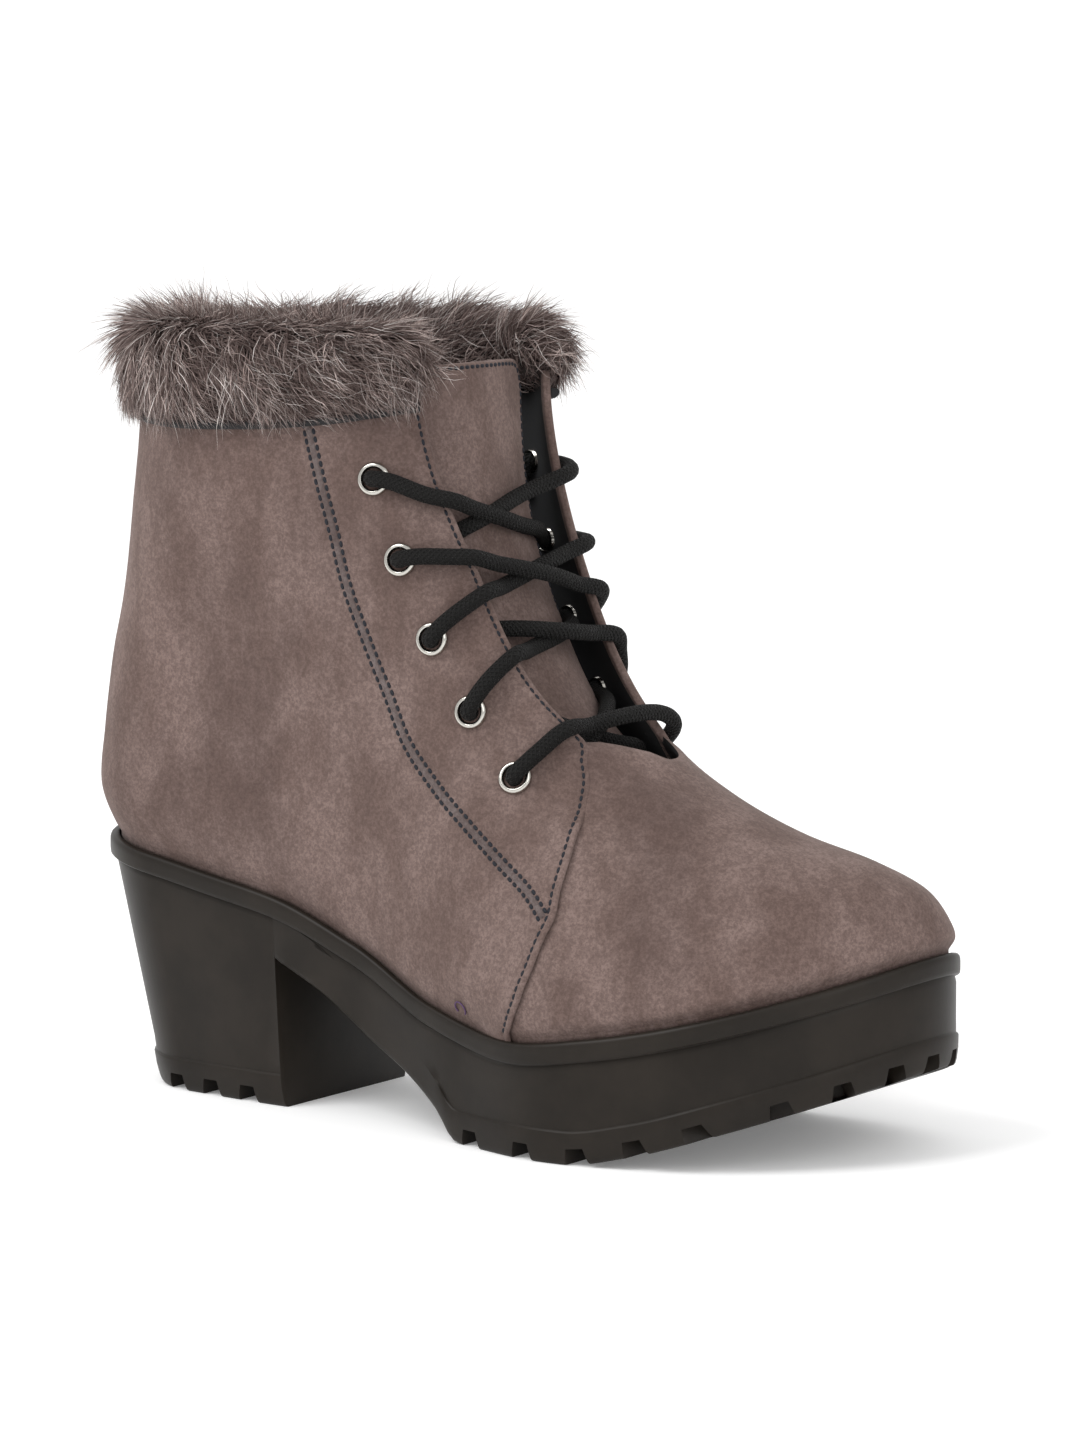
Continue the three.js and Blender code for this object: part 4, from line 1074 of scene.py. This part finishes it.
LOOSE_THREAD = {"station": 142.5, "y": -43.0, "z": 33.2, "reach": 2.1, "height": 3.2, "radius": 0.2,
                "lift": 0.35}


def loose_thread():
    """A small loop of thread that stands out of the joint with the sole."""
    turn = np.linspace(-0.25, 1.25, 30) * np.pi
    loop = np.stack([LOOSE_THREAD["station"] + LOOSE_THREAD["reach"] * np.cos(turn),
                     np.full_like(turn, LOOSE_THREAD["y"]),
                     LOOSE_THREAD["z"] + LOOSE_THREAD["height"] * (np.sin(turn) + 0.7) / 1.7], -1)
    line, _ = on_quarter(loop, LOOSE_THREAD["lift"])
    points, faces = tube(line, LOOSE_THREAD["radius"], 6)
    piece = add_piece("loose_thread", points, faces, [PURPLE])


# ---- eyelets ----
EYELETS = {"station": [108.7, 116.9, 126.5, 138, 152], "z": [165, 145, 125.5, 108, 93], "y": 32.0}
EYELET_LIFT = 0.1
EYELET_PROFILE = [(2.75, -3.0), (2.75, 0.3), (2.83, 0.95), (3.05, 1.4), (3.4, 1.62), (3.8, 1.5), (4.15, 1.12),
                  (4.32, 0.6), (4.3, 0.3), (3.3, 0.2), (3.1, -3.0)]


def eyelet_frame(side, row):
    """The place of an eyelet on the face and the face's normal there."""
    u, v = locate([EYELETS["station"][row], EYELETS["y"] * side, EYELETS["z"][row]]).T
    points, normals, _ = face_frame(u, v)
    return points[0], normals[0]


def eyelets():
    frames = [eyelet_frame(side, row) for side in (-1, 1) for row in range(len(EYELETS["z"]))]
    points, away = (np.array(part) for part in zip(*frames))
    points = points + EYELET_LIFT * away
    heading = unit(np.cross(away, [0.0, 0.0, 1.0]))
    ring = turned_mesh("eyelet", EYELET_PROFILE[::-1], 40)
    piece = place_copies("eyelets", points, away, heading, ring, NICKEL)
    names = [f"eyelet_{side}_{row + 1}" for side in ("lateral", "medial") for row in range(5)]
    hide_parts(*names)


# ---- lace ----
LACE_RADIUS = 2.1
LACE_SIDES = 14
OUT, IN = -1, 1        # the outer (lateral) and inner (medial) eyelets
# The lace from its hidden end inside the outer top eyelet to that inside the inner one. "up" comes out of an
# eyelet and "down" goes in; the numbers are the points of the run to the next eyelet.
LACE = [
    ("end", OUT, 0), ("up", OUT, 0),
    (114.9, -30.2, 164.1), (119, -28.1, 161.9), (123.4, -25.2, 160.3), (126.3, -20, 158.8),
    (128, -12.6, 156.4), (128.9, -3.4, 153.8), (127.6, 7.6, 151), (124.3, 18.5, 149.2),
    ("up", IN, 1),
    (123.5, 36, 145.4), (130.4, 28, 145.2), (132.6, 19, 143.6), (133.6, 5, 141), (133.8, -3, 139.2),
    (134.4, -11, 137.7), (134.6, -20.5, 135.4), (133.4, -27.9, 133), (130.7, -31, 130.2),
    ("down", OUT, 2),
    (131, -24, 127), (135.4, -19, 127.3), (138.8, -13, 127.3), (142.6, -6, 126.6), (144.6, 2.7, 125.5),
    (144, 12, 124.2), (142.6, 20.5, 122.8), (141.8, 26.5, 119.6), (141.4, 31.2, 113.6),
    ("down", IN, 3),
    (144, 20, 106.8), (152, 9, 105.3), (156.4, 0, 102.6), (157.2, -9, 98.8), (154.6, -19, 94.6),
    ("up", OUT, 4),
    (155, -31, 96.2), (157, -27.2, 99.3), (157.6, -19.8, 101.4), (159.2, -11.5, 103.4), (161, -4, 104.6),
    (162, 5, 105.2), (162, 14, 104.9), (162.2, 20.5, 103.8), (161.6, 26.2, 100.6),
    ("down", IN, 4),
    (157.6, 15, 95.6), (156.6, 5, 97.8), (153, -6, 101.6), (147.4, -16, 105.6),
    ("up", OUT, 3),
    (141.3, -31.4, 113.4), (143.3, -28, 117.4), (143.6, -22.5, 119.4), (142.6, -16.5, 120.6),
    (141.8, -9.5, 122.2), (140.9, -1.7, 123.1), (138.4, 9, 124.2), (134.5, 19, 125.2),
    ("up", IN, 2),
    (131.6, 33, 128.4), (135.2, 27.4, 132), (137, 18, 135.6), (138, 8, 138.6), (137.8, -2, 140.9),
    (135.4, -12, 143), (131.6, -21.6, 145), (127.9, -27.6, 145.9), (123.4, -31, 146.2),
    ("down", OUT, 1),
    (121.6, -24.5, 148.6), (125.4, -19.2, 151.4), (126.4, -14, 153), (126.8, -5.7, 155.2), (125.6, 6, 158.2),
    (125.6, 17, 160.6), (127.4, 25, 162.6), (122.6, 34.6, 164.2),
    ("down", IN, 0), ("end", IN, 0),
]


LACE_OVER = 2.8        # least height of the cord's middle over a facing
LACE_UNDER = -4.4      # and greatest under it
LACE_DROP = 9.0        # how far an end hangs down inside
HOLE_HEIGHTS = [-4.2, -0.6, 2.3]     # heights of the cord's middle as it comes out of an eyelet
KINK = 7               # points each way over which a kink is pulled straight


def from_holes(line):
    """How far points are from the nearest eyelet."""
    holes = np.array([eyelet_frame(side, row)[0] for side in (OUT, IN) for row in range(5)])
    return np.linalg.norm(line[:, None] - holes, axis=2).min(1)


def relaxed(line):
    """The line with its small kinks pulled straight, except where it turns through an eyelet."""
    window = np.hanning(2 * KINK + 1)
    padded = np.pad(line, ((KINK, KINK), (0, 0)), mode="edge")
    eased = np.stack([np.convolve(column, window / window.sum(), mode="valid") for column in padded.T], -1)
    return line + (eased - line) * smooth(3, 8, from_holes(line))[:, None]


def keep_clear(line, over):
    """The lace's line held off the facings, over them or under them as its flags say."""
    u, v = locate(line).T
    points, normals, along = face_frame(u, v)
    height = ((line - points) * normals).sum(-1)
    inside = np.maximum(lateral_front(v) - u, u - medial_front(v)) * np.linalg.norm(along, axis=1)
    free = smooth(4, 8, from_holes(line))
    clear = np.where(over > 0, np.maximum(height, LACE_OVER), np.minimum(height, LACE_UNDER))
    return line + normals * ((clear - height) * smooth(-4.5, -1, inside) * free)[:, None]


def run_points(points, start, end):
    """A run's points with a flag each: 1 near an end where the lace is over its facing, -1 where under."""
    half = len(points) / 2
    return [(*point, start if k < half else end) for k, point in enumerate(points)]


def lace_points():
    """The middle of the cord, from its first hidden end to its last."""
    path, run, state = [], [], -1
    for item in LACE:
        if not isinstance(item[0], str):
            run.append(item)
            continue
        way, side, row = item
        point, normal = eyelet_frame(side, row)
        arrives = 1 if way == "down" else -1
        path += run_points(run, state, arrives)
        run, state = [], -1 if way == "down" else 1
        if way == "end":
            path.append((*(point + LACE_UNDER * normal - np.array([0, 0, LACE_DROP])), -1))
        else:
            heights = HOLE_HEIGHTS if way == "up" else HOLE_HEIGHTS[::-1]
            path += [(*(point + height * normal), np.sign(height)) for height in heights]
    line = smooth_line(path, 1.0)
    return smooth_line(relaxed(keep_clear(line[:, :3], line[:, 3]))[::2], 1.0)


def lace():
    line = lace_points()
    points, faces = tube(line, LACE_RADIUS, LACE_SIDES)
    piece = add_piece("lace", points, faces, [LACE_LOOK])
    ring = np.concatenate([np.asarray(corners) for corners in faces])
    around = (ring % LACE_SIDES) / LACE_SIDES
    first = np.repeat([corners[0] % LACE_SIDES for corners in faces], [len(corners) for corners in faces])
    around = np.where((around == 0) & (first > LACE_SIDES / 2), 1.0, around)
    layer = piece.data.uv_layers.new(name="braid")
    layer.data.foreach_set("uv", np.stack([around, run_along(line)[ring // LACE_SIDES] / 10], -1).ravel())
    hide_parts("lace_cross_1", "lace_cross_2", "lace_cross_3", "lace_cross_4", "lace_bar")


# ---- fur cuff ----
CUFF = {
    # the pile's section from the outer lower edge over the collar to the inner one
    "out": [0.6, 1.8, 3.2, 4, 3.8, 2.6, 0.2, -3, -5.6, -6.8, -6.6, -4.8, -2.6],
    "rise": [0.6, 0.8, 4.5, 11, 17, 21.5, 24.2, 24.2, 21.8, 17, 10.5, 6.6, 6],
}
CUFF_EDGE = {"station": [30, 51, 73, 93, 107, 125], "z": [177, 176.3, 177, 178.8, 180.9, 184]}
CUFF_TOP = 202.0
CUFF_HEIGHT = 25.5
CUFF_CORE = (-0.5, 12)      # out and rise of the point that the ends shrink to
CUFF_NOSE = 7.0             # length over which they do
CUFF_SIDES = 44
CUFF_ROWS = (8.0, 12.0)     # rows of the face that the cuff lies between
CUFF_INSET, TAPE_INSET = 0.4, 1.0     # how far their ends stop inside the facings' front edges
COLLAR_ROW = 11.3
COLLAR_TOP = 196.0
COLLAR_COLUMNS = 260
PARTING = 34.0              # station where the pile parts, forward and back
COMB = {"fan": 1.15, "fan_length": 18, "drop": 0.75}
# Size, seed and strength of the noises that sway the pile aside, let it hang, and make it long or short
SWAYS = [(20, 3, 0.7), (9, 5, 0.6)]
DROP_SWAY = (12, 8, 0.5)
REACH_SWAY = (15, 21, 0.16)
MEAN_REACH = 0.9
NOISE_WAVES = 7
NOISE_RANGE = 3.2
FUR_SEED = 11
TAPE_SECTION = np.array([(0.35, -0.9), (1.3, -0.9), (2.3, -0.2), (2.6, 0.7), (2.2, 1.5), (0.35, 1.7)])
# Down the pile's section, as shares of the way round it: how dense the hair is and how long
GROWTH = {"share": [0, 0.04, 0.1, 0.6, 0.8, 0.92, 1], "growth": [0.5, 1, 1, 1, 0.7, 0.1, 0.1]}
REACH = {"share": [0, 0.03, 0.1, 0.23, 0.3], "reach": [0.25, 0.3, 0.5, 0.9, 1]}
HAIR = {"taper": 0.7, "wave": 0.06, "late": 0.65, "curl": 1.6, "droop": 0.55, "shortest": 0.6,
        "longest": 1.05}
# Each curl: how far the hair stands up, how far it bends over, and how far it sweeps aside
LOW_CURLS = [(0.5, 1.0, 0.1), (0.6, 0.9, -0.15), (0.4, 1.0, 0.22), (0.55, 0.95, -0.28)]
LONG_CURLS = [(0.42, 1.0, 0.12), (0.5, 0.95, -0.16), (0.32, 1.0, 0.26), (0.42, 1.0, -0.3), (0.55, 0.9, 0.06)]
COATS = {
    # from the wool underneath to the guard hairs
    "name": ["fur_under", "fur_pile", "fur_top", "fur_guard"],
    "length": [9.5, 14.0, 16.0, 18.5],
    "width": [0.4, 0.25, 0.2, 0.16],
    "segments": [2, 4, 4, 5],
    "per_square_metre": [12.0e5, 8.0e5, 7.0e5, 2.6e5],
    "stray": [0.5, 0.32, 0.38, 0.5],
    "curls": [LOW_CURLS, LONG_CURLS, LONG_CURLS, LONG_CURLS],
    "root": [(0.085, 0.057, 0.051), (0.105, 0.071, 0.064), (0.135, 0.095, 0.086), (0.3, 0.24, 0.22)],
    "tip": [(0.25, 0.186, 0.168), (0.54, 0.42, 0.385), (0.80, 0.66, 0.61), (0.95, 0.88, 0.84)],
    "pales_from": [-0.2, -0.3, -0.4, -0.5],
    "pale_share": [0.8, 0.6, 0.55, 0.9],
}


def collar_columns(inset):
    """Places round the collar from the inner front edge round the back to the outer one."""
    u = np.linspace(float(medial_front(COLLAR_ROW)) - 2, float(lateral_front(COLLAR_ROW)), COLLAR_COLUMNS)
    run = run_along(face(u, COLLAR_ROW))
    at = np.linspace(inset, run[-1] - inset, COLLAR_COLUMNS)
    return np.interp(at, run, u), np.minimum(at - inset, run[-1] - inset - at)


def level_frame(u, height):
    """Points of the face at heights, and level outward directions there."""
    low, high = (np.full(np.shape(u), row) for row in CUFF_ROWS)
    for _ in range(24):
        middle = (low + high) / 2
        over = face(u, middle)[..., 2] > height
        high = np.where(over, middle, high)
        low = np.where(over, low, middle)
    points, normals, _ = face_frame(u, (low + high) / 2)
    normals[..., 2] = 0
    return points, unit(normals)


def cuff_rings():
    """Rings of the pile's body from end to end, shrunk to a round nose at both ends."""
    u, from_end = collar_columns(CUFF_INSET)
    section = smooth_line(columns(CUFF, "out", "rise"), 0.5)
    section = section[np.linspace(0, len(section) - 1, CUFF_SIDES).round().astype(int)]
    edge = read(CUFF_EDGE, face(u, COLLAR_ROW)[:, 0], "z")
    stretch = (CUFF_TOP - edge) / CUFF_HEIGHT
    end = np.maximum(round_end(from_end / CUFF_NOSE), 0.03)
    grown = CUFF_CORE + (section - CUFF_CORE) * end[:, None, None]
    height = edge[:, None] + grown[..., 1] * stretch[:, None]
    points, level = level_frame(np.broadcast_to(u[:, None], height.shape), np.minimum(height, COLLAR_TOP))
    points[..., 2] = height
    return points + level * grown[..., :1]


def cuff_body():
    rings = cuff_rings()
    faces = capped_faces(len(rings), CUFF_SIDES, flip=True)
    piece = add_piece("fur_backing", rings.reshape(-1, 3), faces, [PILE_BASE])
    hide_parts("fur_cuff")
    return piece, rings


def hair_models(name, length, curls, width, segments):
    """Curved tapering hairs along x, rising in z, as objects of a collection."""
    models = bpy.data.collections.new(name)
    t = np.linspace(0, 1, segments + 1)
    angle = np.arange(3) * 2 * np.pi / 3
    girth = width * (1 - t) ** HAIR["taper"]
    tip = 3 * segments
    faces = [*grid_faces(segments, 3, around=True), (2, 1, 0)]
    faces += [(tip - 3 + i, tip - 3 + (i + 1) % 3, tip) for i in range(3)]
    for k, (lift, bend, side) in enumerate(curls):
        wave = HAIR["wave"] * length * np.sin(2 * np.pi * t) * np.sign(side)
        ahead = length * (t * (1 - HAIR["late"]) + bend * t ** HAIR["curl"] * HAIR["late"])
        line = np.stack([ahead, side * length * t**2 - wave, length * lift * (t - HAIR["droop"] * t**2)], -1)
        rings = [p + np.stack([np.zeros(3), r * np.cos(angle), r * np.sin(angle)], -1)
                 for p, r in zip(line[:-1], girth[:-1])]
        mesh = new_mesh(f"{name}_{k}", np.concatenate([*rings, line[-1:]]) * MM, faces)
        store(mesh, "along", np.append(np.repeat(t[:-1], 3), 1))
        models.objects.link(bpy.data.objects.new(f"{name}_{k}", mesh))
    return models


def rough_noise(points, size, seed):
    """Smooth noise from -1 to 1 over points, as a few sine waves of a fixed draw."""
    draw = np.random.default_rng(seed)
    total = np.zeros(points.shape[:-1])
    for _ in range(NOISE_WAVES):
        way = unit(draw.normal(size=3)) * 2 * np.pi / size * draw.uniform(0.6, 1.5)
        total += np.sin(points @ way + draw.uniform(0, 6.28))
    return total / NOISE_RANGE


def comb_vectors(rings):
    """The way the pile lies: down the outside, out over the top, and forward and back from a parting."""
    along = unit(np.gradient(rings, axis=0))
    down = unit(np.roll(rings, 1, axis=1) - np.roll(rings, -1, axis=1))
    forward = np.sign(along[..., :1] + 1e-6) * along
    fan = COMB["fan"] * np.tanh((rings[..., :1] - PARTING) / COMB["fan_length"])
    sway = sum(strength * rough_noise(rings, size, seed) for size, seed, strength in SWAYS)[..., None]
    size, seed, strength = DROP_SWAY
    drop = COMB["drop"] + strength * rough_noise(rings, size, seed)[..., None]
    return unit(down * drop + forward * (fan + sway))


def fur():
    """Four coats of hairs over the cuff's body."""
    piece, rings = cuff_body()
    mesh = piece.data.copy()
    share = np.arange(CUFF_SIDES) / CUFF_SIDES
    store(mesh, "comb", comb_vectors(rings), "FLOAT_VECTOR")
    store(mesh, "growth", np.tile(np.interp(share, GROWTH["share"], GROWTH["growth"]), len(rings)))
    reach = np.interp(share, REACH["share"], REACH["reach"])
    size, seed, strength = REACH_SWAY
    store(mesh, "reach", reach * (MEAN_REACH + strength * rough_noise(rings, size, seed)))
    for k, name in enumerate(COATS["name"]):
        coat = {key: column[k] for key, column in COATS.items()}
        models = hair_models(name, coat["length"], coat["curls"], coat["width"], coat["segments"])
        look = fur_look(name, coat["root"], coat["tip"], coat["pales_from"], coat["pale_share"])
        hairs = run_tree(name, mesh.copy(), FUR, {
            "Hairs": models, "Per Square Metre": coat["per_square_metre"], "Shortest": HAIR["shortest"],
            "Longest": HAIR["longest"], "Stray": coat["stray"], "Seed": FUR_SEED + k, "Finish": look})
        for model in list(models.objects):
            bpy.data.objects.remove(model)
        bpy.data.collections.remove(models)


def tape():
    """The narrow tape that binds the pile's lower edge."""
    u, _ = collar_columns(TAPE_INSET)
    edge = read(CUFF_EDGE, face(u, COLLAR_ROW)[:, 0], "z")
    height = edge[:, None] + TAPE_SECTION[None, :, 1]
    points, level = level_frame(np.broadcast_to(u[:, None], height.shape), height)
    points = points + level * TAPE_SECTION[None, :, :1]
    faces = capped_faces(len(u), len(TAPE_SECTION), flip=True)
    piece = add_piece("edge_tape", points.reshape(-1, 3), faces, [TAPE], sharp=60)


# ---- floor, light and camera ----
FLOOR = {"front": -4.0, "flat": 1.5, "sweep": 1.5, "top": 5.0, "side": 6.0}
SKY = 0.85
LIGHTS = {"key": ((-0.5, -1.1, 1.6), 1.0, 22), "fill": ((1.5, -0.5, 0.9), 1.2, 7)}     # place, size and power
LIT_POINT = Vector((0.06, 0, 0.1))
CAMERA = {"place": (0.90303, -1.15474, 0.28287), "azimuth": 34.22, "elevation": 7.80, "lens": 140.0,
          "shift": (-0.068, 0.036)}


def floor():
    """A floor that sweeps up into a wall behind the boot."""
    turn = np.linspace(0, np.pi / 2, 12)
    flat, sweep = FLOOR["flat"], FLOOR["sweep"]
    run = np.concatenate([[FLOOR["front"], flat], flat + sweep * np.sin(turn), [flat + sweep]])
    rise = np.concatenate([[0, 0], sweep - sweep * np.cos(turn), [FLOOR["top"]]])
    heading = math.radians(CAMERA["azimuth"] + 90)
    away = np.array([math.cos(heading), math.sin(heading), 0])
    across = np.array([-away[1], away[0], 0]) * FLOOR["side"]
    rows = run[:, None] * away + rise[:, None] * np.array([0, 0, 1.0])
    points = np.stack([rows - across, rows + across], 1).reshape(-1, 3)
    mesh = new_mesh("floor", points, grid_faces(len(run), 2, flip=True))
    mesh.materials.append(Look("floor", Base_Color=(0.93, 0.93, 0.93, 1), Roughness=0.8,
                               Emission_Color=(1, 1, 1, 1), Emission_Strength=0.14).material)
    mesh.shade_smooth()
    put_in_scene("floor", mesh)


def studio():
    """White light from all round, with one soft key and a weak fill."""
    world = bpy.data.worlds.new("studio")
    world.use_nodes = True
    background = world.node_tree.nodes["Background"]
    background.inputs["Color"].default_value = (1, 1, 1, 1)
    background.inputs["Strength"].default_value = SKY
    bpy.context.scene.world = world
    bpy.context.scene.view_settings.view_transform = "Standard"
    for name, (place, size, power) in LIGHTS.items():
        light = bpy.data.lights.new(name, "AREA")
        light.size = size
        light.energy = power
        lamp = put_in_scene(name, light)
        lamp.location = place
        lamp.rotation_euler = (LIT_POINT - Vector(place)).to_track_quat("-Z", "Y").to_euler()


def camera():
    data = bpy.data.cameras.new("camera")
    data.lens = CAMERA["lens"]
    data.sensor_width = 36
    data.shift_x, data.shift_y = CAMERA["shift"]
    lens = put_in_scene("camera", data)
    lens.location = CAMERA["place"]
    lens.rotation_euler = (math.radians(90 - CAMERA["elevation"]), 0, math.radians(CAMERA["azimuth"]))
    bpy.context.scene.camera = lens


# ---- the boot ----
sole_unit()
bpy.data.objects["insole"].material_slots[0].material = LINING
quarters()
vamp()
tongue()
seams()
edge_stitches()
tongue_stitches()
loose_thread()
eyelets()
lace()
tape()
fur()
floor()
studio()
camera()
